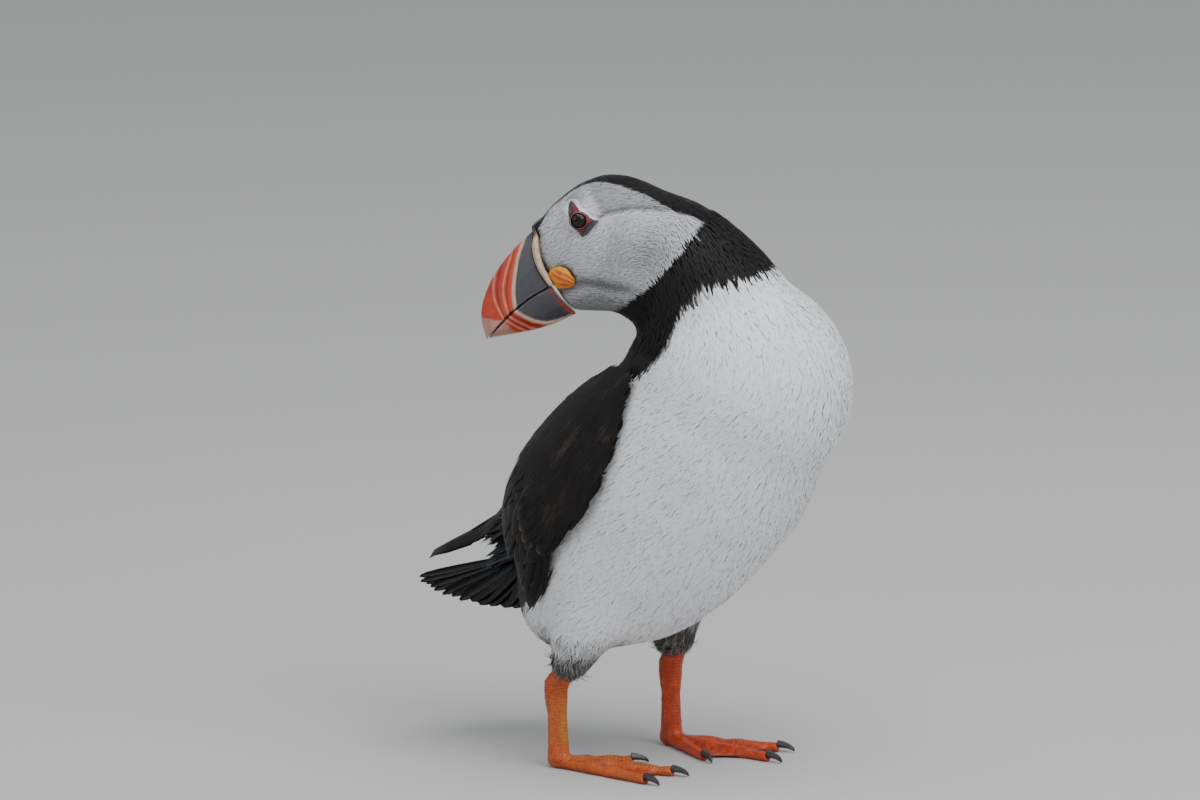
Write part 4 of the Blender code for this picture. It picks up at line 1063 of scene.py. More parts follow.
# The tips' edges are read as the height and how far towards the bill, and the other lines are places towards
# the bill and up.
UPPER_TIP = ((-0.0090, 0.0452), (-0.0038, 0.0465), (-0.0030, 0.0490), (-0.0011, 0.0510), (-0.0002, 0.0535),
             (0.0010, 0.0570))
LOWER_SLATE = ((0.0410, -0.0010), (0.0401, -0.0036), (0.0388, -0.0065), (0.0366, -0.0101), (0.0332, -0.0133),
               (0.0293, -0.0147), (0.0260, -0.0153), (0.0220, -0.0157))
LOWER_GROOVES = (0.0029, 0.0048)
LOWER_TIP = ((-0.0180, 0.0425), (-0.0130, 0.0444), (-0.0094, 0.0456), (-0.0052, 0.0464))
GROOVE_DEPTH = 0.00034
GROOVE_HALF = 0.00042
RIDGE_PAST_GROOVE = 0.00100
RIDGE_HEIGHT = 0.00016
RIB_HEIGHT = 0.00024
PLATE_RIM_DEPTH = 0.00012
MOUTH_DEPTH = 0.00022
GAPE = ((0.0255, -0.0010), (0.0340, -0.0012), (0.0430, -0.0029), (0.0505, -0.0056), (0.0555, -0.0079))
GAPE_DARK = (0.030, 0.018, 0.018)
SCRATCH_PALE = (0.26, 0.24, 0.25)
SCRATCH_GAP = 0.00030
SCRATCH_DEPTH = 0.0002
ALONG_BILL = (0.974, -0.226)
BRIDGE_BOW = 0.0000175
BRIDGE_MIDDLE = 30
HOOK_DARK = (0.035, 0.022, 0.020)
CHIN_RED = (0.50, 0.035, 0.012)
CHIN_EDGE = ((0.0252, -0.0030), (0.0248, -0.0070), (0.0240, -0.0115), (0.0221, -0.0172))


def carved(name, sources, grain, softening, fills=()):
    """A detailed piece cast from the frame's forms, with its vertex places, normals and edges. A fill is a ball
    of putty, as (centre, radii), that closes a joint between two forms."""
    made = merged(name, sources)
    work = bmesh.new()
    work.from_mesh(made.data)
    for centre, radii in fills:
        place = Matrix.Translation(centre) @ Matrix.Diagonal((*radii, 1))
        bmesh.ops.create_icosphere(work, subdivisions=3, radius=1.0, matrix=place)
    work.to_mesh(made.data)
    work.free()
    run_together(made, grain, softening)
    edges = edges_of(made.data)
    normals = unit(eased(verts_of(made.data, "normal"), edges, 3))
    made.data.shade_smooth()
    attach(made, "root")
    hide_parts(*sources)
    return made, verts_of(made.data), normals, edges


def pressed(made, places, normals, amount):
    """Moves an object's surface out or in along its normals."""
    made.data.vertices.foreach_set("co", (places + normals * amount[:, None]).ravel())
    made.data.update()


def horn_finish(name, roughness, wax, grain, pitting):
    """Waxed horn: its stored colour, cloudy, with fine scratches and growth lines."""
    made, node, surface = shader(name)
    stored = node("ShaderNodeAttribute", attribute_name="tint")
    cloud = node("ShaderNodeGroup", node_tree=cloudy, Tint=stored.outputs["Color"], Scale=grain, Darkest=0.80,
                 Lightest=1.16, Grain_Scale=grain * 6)
    wear = node("ShaderNodeMapRange", Value=cloud.outputs["Cloud"], From_Min=0.3, From_Max=0.7,
                To_Min=roughness - 0.07, To_Max=roughness + 0.10)
    bump = node("ShaderNodeBump", Height=cloud.outputs["Grain"], Strength=pitting, Distance=SCRATCH_DEPTH)
    surface(Base_Color=cloud.outputs["Color"], Roughness=wear.outputs["Result"], Normal=bump.outputs["Normal"],
            Coat_Weight=wax, Coat_Roughness=0.25)
    return made


def bump_at(values, centre, half):
    """A smooth hump of height one at the centre."""
    return np.exp(-(((values - centre) / half) ** 2))


def signed_beyond(points, line):
    """Flat distance past a line that runs downwards: more than zero on the side of the bill's tip."""
    gap, _ = distance_to_line(points, line)
    order = sorted(line, key=lambda spot: spot[1])
    side = points[:, 0] - np.interp(points[:, 1], [spot[1] for spot in order], [spot[0] for spot in order])
    return gap * np.sign(side)


horn = horn_finish("bill horn", 0.36, 0.18, 330.0, 0.25)


def off_bridge(flat):
    """How far along the upper bill a place lies, counted in bands that bow most toward the tip."""
    ahead, over = flat[:, 0] - RIB_MIDDLE[0], flat[:, 1] - RIB_MIDDLE[1]
    reach = np.hypot(ahead, over)
    bow = (np.degrees(np.arctan2(over, ahead)) - BRIDGE_MIDDLE) ** 2 * BRIDGE_BOW
    return reach + bow * fade(reach, UPPER_SLATE, 0.0500)


def past_lower_slate(flat):
    """How far past the lower bill's slate plate a place lies."""
    return signed_beyond(flat, LOWER_SLATE)


def banded_horn(name, source, out, grooves_at, tip_line, slate_edge, seed):
    """Cuts the grooves into one half of the bill and tints its slate, cream and red bands, with painted shade in
    the grooves and a painted highlight on the ridges beside them.
    """
    made, places, normals, _ = carved(name, (source,), HORN_GRAIN, 3)
    local = on_head(places)
    flat = local[:, (0, 2)]
    out = out(flat) + wander(places, 0.004, seed) * 0.00020
    mouth_gap = distance_to_line(flat, GAPE)[0]
    on_side = fade(np.abs(local[:, 1]), 0.0010, 0.0028)
    rib = bump_at(out, slate_edge + RIB_HALF * 0.9, RIB_HALF)
    grooves = sum(bump_at(out, spot, GROOVE_HALF) for spot in grooves_at)
    ridges = sum(bump_at(out, spot + RIDGE_PAST_GROOVE, GROOVE_HALF) for spot in grooves_at)
    plate_rim = bump_at(out, slate_edge - 0.0006, 0.0005)
    sunk = GROOVE_DEPTH * grooves - RIDGE_HEIGHT * ridges - RIB_HEIGHT * rib + PLATE_RIM_DEPTH * plate_rim
    pressed(made, places, normals, -sunk * on_side - MOUTH_DEPTH * bump_at(mouth_gap, 0.0, 0.0006))
    colour = mixed(HORN_RED, HORN_ORANGE, np.clip(0.5 + 0.9 * wander(places, 0.0045, seed + 4), 0, 1))
    grooves, ridges = np.clip(grooves, 0, 1), np.clip(ridges, 0, 1)
    past_tip_line = flat[:, 0] - table(flat[:, 1], tip_line)
    colour = mixed_rows(colour, TIP_PALE, 0.85 * fade(past_tip_line, -0.0008, 0.0012))
    # Painted shade darkens each groove, and a painted highlight lightens the ridge beside it.
    colour = mixed_rows(colour, GROOVE_SHADE_RED, 0.85 * grooves)
    colour = mixed_rows(colour, RIDGE_HIGHLIGHT, 0.62 * ridges * (1 - grooves))
    colour = mixed_rows(colour, HORN_CREAM, 1 - fade(out, slate_edge + 0.0010, slate_edge + 0.0017))
    slate = mixed(PLATE_SLATE, PLATE_PALE, np.clip(0.35 + 0.7 * wander(places, 0.005, seed + 6), 0, 1))
    scratch = np.sin(mouth_gap / SCRATCH_GAP + 0.5 * wander(places, 0.004, seed))
    scratch = np.clip(scratch * fade(mouth_gap, 0.0028, 0.0006) - 0.2, 0, 1)
    scratch = scratch * fade(flat @ np.array(ALONG_BILL), 0.0445, 0.0400)
    slate = mixed_rows(slate, SCRATCH_PALE, 0.5 * scratch)
    colour = mixed_rows(colour, slate, 1 - fade(out, slate_edge - 0.0002, slate_edge + 0.0002))
    colour = mixed_rows(colour, GAPE_DARK, 0.85 * bump_at(mouth_gap, 0.0, 0.00035))
    return made, places, flat, colour


bill_upper, places, flat, colour = banded_horn(
    "bill_upper_horn", "bill_upper", off_bridge, UPPER_GROOVES, UPPER_TIP, UPPER_SLATE, 1.0)
hook = fade(flat[:, 1], -0.0072, -0.0090) * fade(flat[:, 0], 0.0535, 0.0555)
colour = mixed_rows(colour, HOOK_DARK, hook)
paint(bill_upper.data, "tint", colour)
bill_upper.data.materials.append(horn)

bill_lower, places, flat, colour = banded_horn(
    "bill_lower_horn", "bill_lower", past_lower_slate, LOWER_GROOVES, LOWER_TIP, 0.0, 2.0)
chin_cream = fade(past_lower_slate(flat), -0.0004, 0.0003) * fade(-flat[:, 0], -0.0347, -0.0325)
colour = mixed_rows(colour, HORN_CREAM, chin_cream)
chin_gap = distance_to_line(flat, CHIN_EDGE)[0] + 0.0003 * wander(places, 0.0009, 2.0)
colour = mixed_rows(colour, CHIN_RED, 1 - fade(chin_gap, 0.0006, 0.0011))
paint(bill_lower.data, "tint", colour)
bill_lower.data.materials.append(horn)


# THE CERE. A raised cream rim of soft horn round the bill's base, finely pitted, orange-brown next to the face
# and black on the bridge, where it is let in under the forehead's feathers.
CERE_CREAM = (0.50, 0.40, 0.29)
CERE_EDGE = (0.34, 0.12, 0.04)
CERE_BRIDGE = (0.020, 0.019, 0.021)
CERE_GRAIN = 0.00032
CERE_BASE = ((-0.0010, 0.0255), (0.0072, 0.0256), (0.0138, 0.0236), (0.0188, 0.0205))
PIT_DEPTH = 0.00022
BRIDGE_LET_IN = 0.00075

cere_finish = horn_finish("cere", 0.55, 0.04, 500.0, 0.6)
cere, places, normals, _ = carved("cere", ("bill_ridge",), CERE_GRAIN, 4)
local = on_head(places)
pits = np.clip(wander(places, 0.00045, 3.0) - 0.25, 0, 1)
over_bridge = fade(local[:, 2], 0.0140, 0.0185)
pressed(cere, places, normals, -PIT_DEPTH * pits - BRIDGE_LET_IN * over_bridge)
colour = mixed(CERE_CREAM, CERE_EDGE, np.clip(pits * 0.4 + 0.10 * wander(places, 0.003, 1.0), 0, 1))
colour = mixed_rows(colour, CERE_EDGE, 0.8 * fade(table(local[:, 2], CERE_BASE) - local[:, 0], 0.0018, 0.0026))
colour = mixed_rows(colour, CERE_BRIDGE, fade(local[:, 2], 0.0168, 0.0190) * 0.97)
paint(cere.data, "tint", colour)
cere.data.materials.append(cere_finish)


# THE ROSETTES. Soft yellow skin at the corners of the mouth, folded in narrow wrinkles that run back from the
# gape. Each is cast from a carved button, drawn out to a leaf, and pressed with its wrinkles.
ROSETTE_YELLOW = (0.78, 0.36, 0.010)
ROSETTE_ORANGE = (0.62, 0.105, 0.006)
ROSETTE_GRAIN = 0.00030
ROSETTE_MIDDLE = (0.0195, -0.0004)
ROSETTE_WAY = np.array((-0.65, -0.76))
ROSETTE_ACROSS = np.array((-0.76, 0.65))
ROSETTE_HALF = np.array((0.0053, 0.0048))
ROSETTE_LONGER = 1.14
WRINKLE_GAP = 0.00031
WRINKLE_DEPTH = 0.00020

rosette_finish = horn_finish("rosette skin", 0.50, 0.10, 700.0, 0.5)
for side, sign in (("left", 1.0), ("right", -1.0)):
    rosette, places, normals, _ = carved("rosette_fold_" + side, ("rosette_" + side,), ROSETTE_GRAIN, 3)
    local = on_head(places)
    off = local[:, (0, 2)] - np.array(ROSETTE_MIDDLE)
    along, aside = off @ ROSETTE_WAY, off @ ROSETTE_ACROSS
    rim = fade(np.linalg.norm(off / ROSETTE_HALF, axis=1), 0.62, 0.97)
    waves = np.sin(aside / WRINKLE_GAP + 3.2 * wander(places, 0.0017, 3.0)) * (1 - 0.5 * rim)
    outward = fade(local[:, 1] * sign, 0.0098, 0.0118)
    # The round button is drawn out to a leaf that narrows to both ends.
    narrowed = aside * (1.0 - 0.34 * fade(along, -0.0005, 0.0055) - 0.12 * fade(-along, 0.001, 0.005))
    drawn_out = along * ROSETTE_LONGER
    leaf = np.array(ROSETTE_MIDDLE) + drawn_out[:, None] * ROSETTE_WAY + narrowed[:, None] * ROSETTE_ACROSS
    places = off_head(np.stack((leaf[:, 0], local[:, 1], leaf[:, 1]), 1))
    pressed(rosette, places, normals, (WRINKLE_DEPTH * waves - 0.00005) * outward)
    inside = np.clip(0.62 + 0.45 * wander(places, 0.0016, 6.0) - 0.22 * waves, 0, 1) * (1 - 0.85 * rim)
    colour = mixed(ROSETTE_YELLOW, ROSETTE_ORANGE, inside)
    paint(rosette.data, "tint", colour)
    rosette.data.materials.append(rosette_finish)


# THE EYES. Dark brown glass eyes in a ring of beaded red skin, with a small horny plate above and a bar below
# each. Every piece is built up from the eye's middle, and stands on the skin that lies round it.
EYE_MIDDLE = (0.0029, 0.0127, 0.0165)
EYE_RADIUS = 0.0044
EYE_SIDE = 0.0033
PUPIL = 0.00175
IRIS = 0.0031
LID_OPENING = 0.0029
ORBIT_PROUD = 0.0011
ORBIT_POINTS = 120
BALL_TURNS, BALL_RINGS = 64, 26
PUPIL_BLACK = (0.003, 0.003, 0.003)
IRIS_BROWN = (0.016, 0.006, 0.004)
RING_RED = (0.17, 0.009, 0.014)
RING_DARK = (0.038, 0.008, 0.008)
LID_PINK = (0.19, 0.070, 0.068)
RED_PATCHES = ((-2.72, 0.55), (-1.45, 0.35), (1.94, 0.40))
RING_LEVELS = ((0.0, -0.0006), (0.0, 0.00005), (0.08, 0.00050), (0.2, 0.00030), (0.32, 0.00004), (0.5, 0.0),
               (0.75, 0.0), (0.93, 0.0), (1.0, -0.0003), (1.0, -0.0012))
BEAD_HEIGHT = 0.00012
# Steps out from the ring's edge, with the share of its rise above the cheek.
LID_FEATHERS = ((-0.0002, 1.0), (0.0004, 0.88), (0.0011, 0.58), (0.0018, 0.28), (0.0026, -0.25))
PLATE_HORN = (0.030, 0.032, 0.038)
PLATE_LEVELS = ((0.90, -0.0012), (1.0, -0.0001), (0.96, 0.55), (0.80, 0.9), (0.45, 1.0))
ORBIT_OUTLINE = ((0.0018, 0.0230), (0.0031, 0.0224), (0.0046, 0.0209), (0.0052, 0.0200), (0.0056, 0.0181),
                 (0.0059, 0.0159), (0.0056, 0.0132), (0.0051, 0.0113), (0.0047, 0.0105), (0.0034, 0.0105),
                 (0.0012, 0.0110), (-0.0009, 0.0120), (-0.0027, 0.0123), (-0.0038, 0.0129), (-0.0021, 0.0139),
                 (-0.0013, 0.0152), (-0.0006, 0.0173), (0.0006, 0.0192), (0.0011, 0.0210))
PLATE_ABOVE_HEIGHT = 0.0007
PLATE_BELOW_HEIGHT = 0.0008
PLATE_ABOVE = ((0.0018, 0.0229), (0.0031, 0.0222), (0.0045, 0.0207), (0.0051, 0.0198), (0.0043, 0.0199),
               (0.0029, 0.0208), (0.0018, 0.0217))
PLATE_BELOW = ((0.0048, 0.0107), (0.0035, 0.0106), (0.0012, 0.0111), (-0.0009, 0.0121), (-0.0026, 0.0124),
               (-0.0037, 0.0128), (-0.0020, 0.0137), (-0.0003, 0.0135), (0.0009, 0.0133), (0.0025, 0.0125),
               (0.0036, 0.0119), (0.0047, 0.0114))

eye_glass, node, surface = shader("eye")
stored = node("ShaderNodeAttribute", attribute_name="tint")
surface(Base_Color=stored.outputs["Color"], Roughness=0.08, Coat_Weight=0.15, Coat_Roughness=0.03,
        Specular_IOR_Level=0.30)
lid_finish = horn_finish("eye ring skin", 0.42, 0.15, 900.0, 0.5)
skin_shell = shell_of(skin.data)


def skin_beside(forward, up, sign):
    """How far to the side of the head's middle the skin lies at a place on the cheek."""
    start = off_head((forward, sign * 0.05, up))
    hit = skin_shell.ray_cast(Vector(start), Vector(-sign * head_axes[1]), 0.06)[0]
    if hit is None:
        return 0.006
    return abs(on_head(np.array(hit))[1])


def mesh_of(name, points, faces, colours, finish, replaced=(), stored_as="tint"):
    """A finished smooth piece of the head from its points, faces and colours, with its poles sewn up."""
    mesh = bpy.data.meshes.new(name)
    mesh.from_pydata([tuple(spot) for spot in points], [], faces)
    paint(mesh, stored_as, colours)
    work = bmesh.new()
    work.from_mesh(mesh)
    bmesh.ops.remove_doubles(work, verts=work.verts, dist=SEWN_WITHIN)
    bmesh.ops.recalc_face_normals(work, faces=work.faces)
    work.to_mesh(mesh)
    work.free()
    mesh.shade_smooth()
    mesh.materials.append(finish)
    made = bpy.data.objects.new(name, mesh)
    bpy.context.scene.collection.objects.link(made)
    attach(made, "root")
    if replaced:
        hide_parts(*replaced)


def grid_faces(rows, columns):
    """Faces between rows of points, where each row runs all the way round."""
    faces = []
    for k in range(rows - 1):
        for j in range(columns):
            n = (j + 1) % columns
            faces.append((k * columns + j, k * columns + n, (k + 1) * columns + n, (k + 1) * columns + j))
    return faces


def rounded(outline):
    """A closed outline with a smooth curve through its points, in four runs between each two."""
    line = np.asarray(outline)
    curve = []
    for k in range(len(line)):
        a, b, c, d = (line[(k + m) % len(line)] for m in (-1, 0, 1, 2))
        slope, bend, twist = c - a, 2 * a - 5 * b + 4 * c - d, 3 * b - a - 3 * c + d
        curve += [0.5 * (2 * b + slope * t + bend * t * t + twist * t**3) for t in (0.0, 0.25, 0.5, 0.75)]
    return np.array(curve)


def raised_plate(name, outline, sign, height):
    """A small cushion-shaped horny plate that follows the cheek, from its outline."""
    rim = rounded(outline)
    heart = rim.mean(0)
    points = []
    for shrink, out in PLATE_LEVELS:
        for forward, up in heart + (rim - heart) * shrink:
            beside = orbit_height(forward, up, sign) + (out * height if out > 0 else out)
            points.append(off_head((forward, sign * beside, up)))
    top = (len(PLATE_LEVELS) - 1) * len(rim)
    faces = grid_faces(len(PLATE_LEVELS), len(rim))
    faces.append(tuple(range(top, top + len(rim))))
    faces.append(tuple(range(len(rim)))[::-1])
    points = np.array(points)
    colours = np.asarray(PLATE_HORN) * (1 + 0.25 * wander(points, 0.0007, 2.0)[:, None])
    mesh_of(name, points, faces, colours, lid_finish)


def cheek_swell(sign):
    """The cheek's own smooth swell round one eye, fitted to the skin outside the eye's bed."""
    rows, sides = [], []
    for reach in (0.0075, 0.0090, 0.0105):
        for k in range(20):
            x = reach * math.cos(k * math.pi / 10)
            z = reach * math.sin(k * math.pi / 10)
            rows.append((1.0, x, z, x * x, x * z, z * z))
            sides.append(skin_beside(EYE_MIDDLE[0] + x, EYE_MIDDLE[2] + z, sign))
    return np.linalg.lstsq(np.array(rows), np.array(sides), rcond=None)[0]


cheek_swells = {sign: cheek_swell(sign) for sign in (1.0, -1.0)}


def orbit_height(forward, up, sign):
    """How far out the ring's skin stands, on the eyeball near the lid and on the cheek away from it."""
    x, z = forward - EYE_MIDDLE[0], up - EYE_MIDDLE[2]
    gap = math.hypot(x, z)
    ball = EYE_MIDDLE[1] + math.sqrt(max(EYE_RADIUS**2 - min(gap, EYE_RADIUS * 0.98) ** 2, 0.0))
    swell = float(np.dot(cheek_swells[sign], (1.0, x, z, x * x, x * z, z * z)))
    ground = skin_beside(forward, up, sign)
    cheek = max(swell, ground) + ORBIT_PROUD
    share = float(fade(np.array(gap), LID_OPENING + 0.0004, 0.0056))
    return max((ball + 0.0003) * (1 - share) + cheek * share, ground + 0.0005)


def build_eyeball(side, sign):
    """A glass eye, a little fuller over the pupil, narrowed to stay under its ring."""
    points, tint = [], []
    for k in range(BALL_RINGS):
        lean = math.pi * k / (BALL_RINGS - 1)
        radius = EYE_RADIUS * (1 + 0.035 * math.exp(-((lean / 0.55) ** 2)))
        beside = EYE_MIDDLE[1] + radius * math.cos(lean)
        gap = min(radius * math.sin(lean), EYE_SIDE)
        share = min(max((gap - PUPIL) / (IRIS - PUPIL), 0), 1)
        for j in range(BALL_TURNS):
            turn = 2 * math.pi * j / BALL_TURNS
            points.append(off_head((EYE_MIDDLE[0] + gap * math.cos(turn), sign * beside,
                                    EYE_MIDDLE[2] + gap * math.sin(turn))))
            if lean < math.pi / 2 and gap < PUPIL:
                tint.append(PUPIL_BLACK)
            else:
                tint.append(np.array(IRIS_BROWN) * (0.5 + 0.7 * share * (1 + 0.3 * math.sin(9 * turn))))
    mesh_of("eyeball_" + side, points, grid_faces(BALL_RINGS, BALL_TURNS), np.array(tint), eye_glass,
            ("eye_" + side,))


orbit_heart = np.array((EYE_MIDDLE[0], EYE_MIDDLE[2]))
off_heart = np.array(ORBIT_OUTLINE) - orbit_heart
bearing = np.arctan2(off_heart[:, 1], off_heart[:, 0])
order = np.argsort(bearing)
around = np.linspace(-math.pi, math.pi, ORBIT_POINTS, endpoint=False)
orbit_edge = np.interp(around, bearing[order], np.hypot(*off_heart.T)[order], period=2 * math.pi)


def ring_tint(turn, off_lid, along):
    """The ring's colour: beaded red and near black by turns, pink at the lid and at its back edge."""
    off_patches = [math.remainder(turn - way, 2 * math.pi) / wide for way, wide in RED_PATCHES]
    redder = max(math.exp(-(off**2)) for off in off_patches) + 0.15 * math.sin(turn * 17 + along * 9)
    redder = min(max(redder, 0), 1)
    shade = np.array(RING_DARK) + (np.array(RING_RED) - np.array(RING_DARK)) * redder
    at_lid = math.exp(-(((off_lid - 0.0002) / 0.0002) ** 2)) * (0.65 - 0.35 * math.cos(turn))
    at_edge = min(max((along - 0.85) / 0.08, 0), 1) * (0.5 + 0.5 * math.cos(turn - 2.6))
    return shade + (np.array(LID_PINK) - shade) * max(at_lid, at_edge) * 0.8


def build_eye_ring(side, sign):
    """The bare beaded skin round one eye, from the lid out to the orbit's edge."""
    points, tint = [], []
    for along, lift in RING_LEVELS:
        for turn, edge in zip(around, orbit_edge):
            beads = BEAD_HEIGHT * math.sin(turn * 26 + math.sin(turn * 5)) * (0.05 < along < 0.4)
            off_lid = (max(edge, LID_OPENING + 0.0007) - LID_OPENING) * along
            reach = LID_OPENING + off_lid
            forward, up = orbit_heart + reach * np.array((math.cos(turn), math.sin(turn)))
            points.append(off_head((forward, sign * (orbit_height(forward, up, sign) + lift + beads), up)))
            tint.append(ring_tint(turn, off_lid, along))
    faces = grid_faces(len(RING_LEVELS), ORBIT_POINTS)
    last = (len(RING_LEVELS) - 1) * ORBIT_POINTS
    faces += [(last + j, last + (j + 1) % ORBIT_POINTS, (j + 1) % ORBIT_POINTS, j) for j in range(ORBIT_POINTS)]
    mesh_of("eye_ring_" + side, points, faces, np.array(tint), lid_finish)


def build_lid_feathers(side, sign):
    """The slope of close short feathers between one ring's edge and the cheek."""
    points = []
    for out, share in LID_FEATHERS:
        for turn, edge in zip(around, orbit_edge):
            reach = max(edge, LID_OPENING + 0.0004)
            way = np.array((math.cos(turn), math.sin(turn)))
            rim = orbit_height(*(orbit_heart + reach * way), sign)
            rise = rim - skin_beside(*(orbit_heart + reach * way), sign)
            wide = min(max(rise / 0.0026, 0.25), 1.0) * (1.0 if reach < 0.0056 else 0.1)
            forward, up = orbit_heart + (reach + out * wide) * way
            points.append(off_head((forward, sign * (skin_beside(forward, up, sign) + rise * share), up)))
    points = np.array(points)
    mesh_of("lid_feathers_" + side, points, grid_faces(len(LID_FEATHERS), ORBIT_POINTS), plumage(points),
            white_finish, stored_as="plumage")


for side, sign in (("left", 1.0), ("right", -1.0)):
    build_eyeball(side, sign)
    build_eye_ring(side, sign)
    build_lid_feathers(side, sign)
    raised_plate("plate_above_eye_" + side, PLATE_ABOVE, sign, PLATE_ABOVE_HEIGHT)
    raised_plate("plate_below_eye_" + side, PLATE_BELOW, sign, PLATE_BELOW_HEIGHT)


# THE LEGS AND FEET. Bare orange skin in fine scales, wrinkled at the ankle, with thin creased webs and black
# claws. Shank and foot are cast in one from the carved forms, with broad scutes down the front and on the toes.
LEG_GRAIN = 0.00042
LEG_ORANGE = {"left": (0.60, 0.058, 0.003), "right": (0.62, 0.090, 0.004)}
LEG_OCHRE = (0.50, 0.22, 0.008)
LEG_RED = (0.36, 0.022, 0.003)
# Painted shade on the back of the shank and at the foot's bottom edge.
LEG_SHADE = (0.060, 0.018, 0.010)
OCHRE_SHARE = {"left": 0.15, "right": 0.80}
OCHRE_ASIDE = {"left": 0.5, "right": -0.45}
# How much painted shade, red and then dark, lies on the back of each shank; more on the far left leg.
RED_SHADE_BEHIND = {"left": 0.75, "right": 0.4}
SHADE_BEHIND = {"left": 0.6, "right": 0.3}
TOE_OCHRE = {"left": 0.0, "right": 0.16}
SHANK_HALF = 0.0026
SHANK_STARTS = (0.0075, 0.0100)
SCUTE = 0.0013
SCUTE_DEPTH = 0.00022
ANKLE_UP = 0.030
ANKLE_FOLDS = 0.0011
ANKLE_FOLD_DEPTH = 0.00030
KNOB_HEIGHT = 0.00035
TOE_SCUTE = 0.0015
TOE_SCUTE_DEPTH = 0.00020
TOE_EDGE = (0.0016, 0.0028)
TOE_ROUNDING = 0.004
WEB_CREASE = 0.00055
WEB_CREASE_DEPTH = 0.00010
SCALE_DEPTH = 0.00025
FOOT_TURN = {"left": -8.0, "right": 4.0}
TOE_SPREAD = {"inner": -31.0, "middle": -3.0, "outer": 18.0}
TOE_LENGTH = {"inner": 0.0285, "middle": 0.0455, "outer": 0.0425}
JOINT_PUTTY = (0.0026, 0.0037, 0.0022)
CLAW_BLACK = (0.020, 0.017, 0.016)


def leg_finish():
    """Scaled skin: its stored colour with small many-sided scales, slightly damp looking."""
    made, node, surface = shader("leg skin")
    stored = node("ShaderNodeAttribute", attribute_name="tint")
    lie = node("ShaderNodeTexCoord")
    scales = node("ShaderNodeTexVoronoi", feature="DISTANCE_TO_EDGE", Vector=lie.outputs["Object"], Scale=1050.0)
    cloud = node("ShaderNodeGroup", node_tree=cloudy, Tint=stored.outputs["Color"], Scale=260.0, Darkest=0.75,
                 Lightest=1.22, Grain_Scale=2000.0)
    seam = node("ShaderNodeMapRange", Value=scales.outputs["Distance"], From_Max=0.16, To_Min=0.62, To_Max=1.0)
    tone = node("ShaderNodeVectorMath", cloud.outputs["Color"], operation="SCALE", Scale=seam.outputs["Result"])
    rise = node("ShaderNodeMapRange", Value=scales.outputs["Distance"], From_Max=0.22)
    bump = node("ShaderNodeBump", Height=rise.outputs["Result"], Strength=0.45, Distance=SCALE_DEPTH)
    surface(Base_Color=tone.outputs["Vector"], Normal=bump.outputs["Normal"], Roughness=0.42, Coat_Weight=0.10,
            Coat_Roughness=0.3)
    return made


def toes_of(places, root, side, sign):
    """How far each place lies on a toe, from 0 to 1, and how far along it."""
    on_toe, along_toe = np.zeros(len(places)), np.zeros(len(places))
    off = places[:, :2] - root
    for toe, spread in TOE_SPREAD.items():
        swing = math.radians(sign * spread + FOOT_TURN[side])
        way = np.array((math.sin(swing), -math.cos(swing)))
        ahead = off @ way
        aside = np.abs(off @ np.array((way[1], -way[0])))
        on_length = (ahead > -TOE_ROUNDING) * (ahead < TOE_LENGTH[toe] + TOE_ROUNDING)
        near = (1 - fade(aside, *TOE_EDGE)) * on_length
        along_toe = np.where(near > on_toe, ahead, along_toe)
        on_toe = np.maximum(on_toe, near)
    return on_toe, along_toe


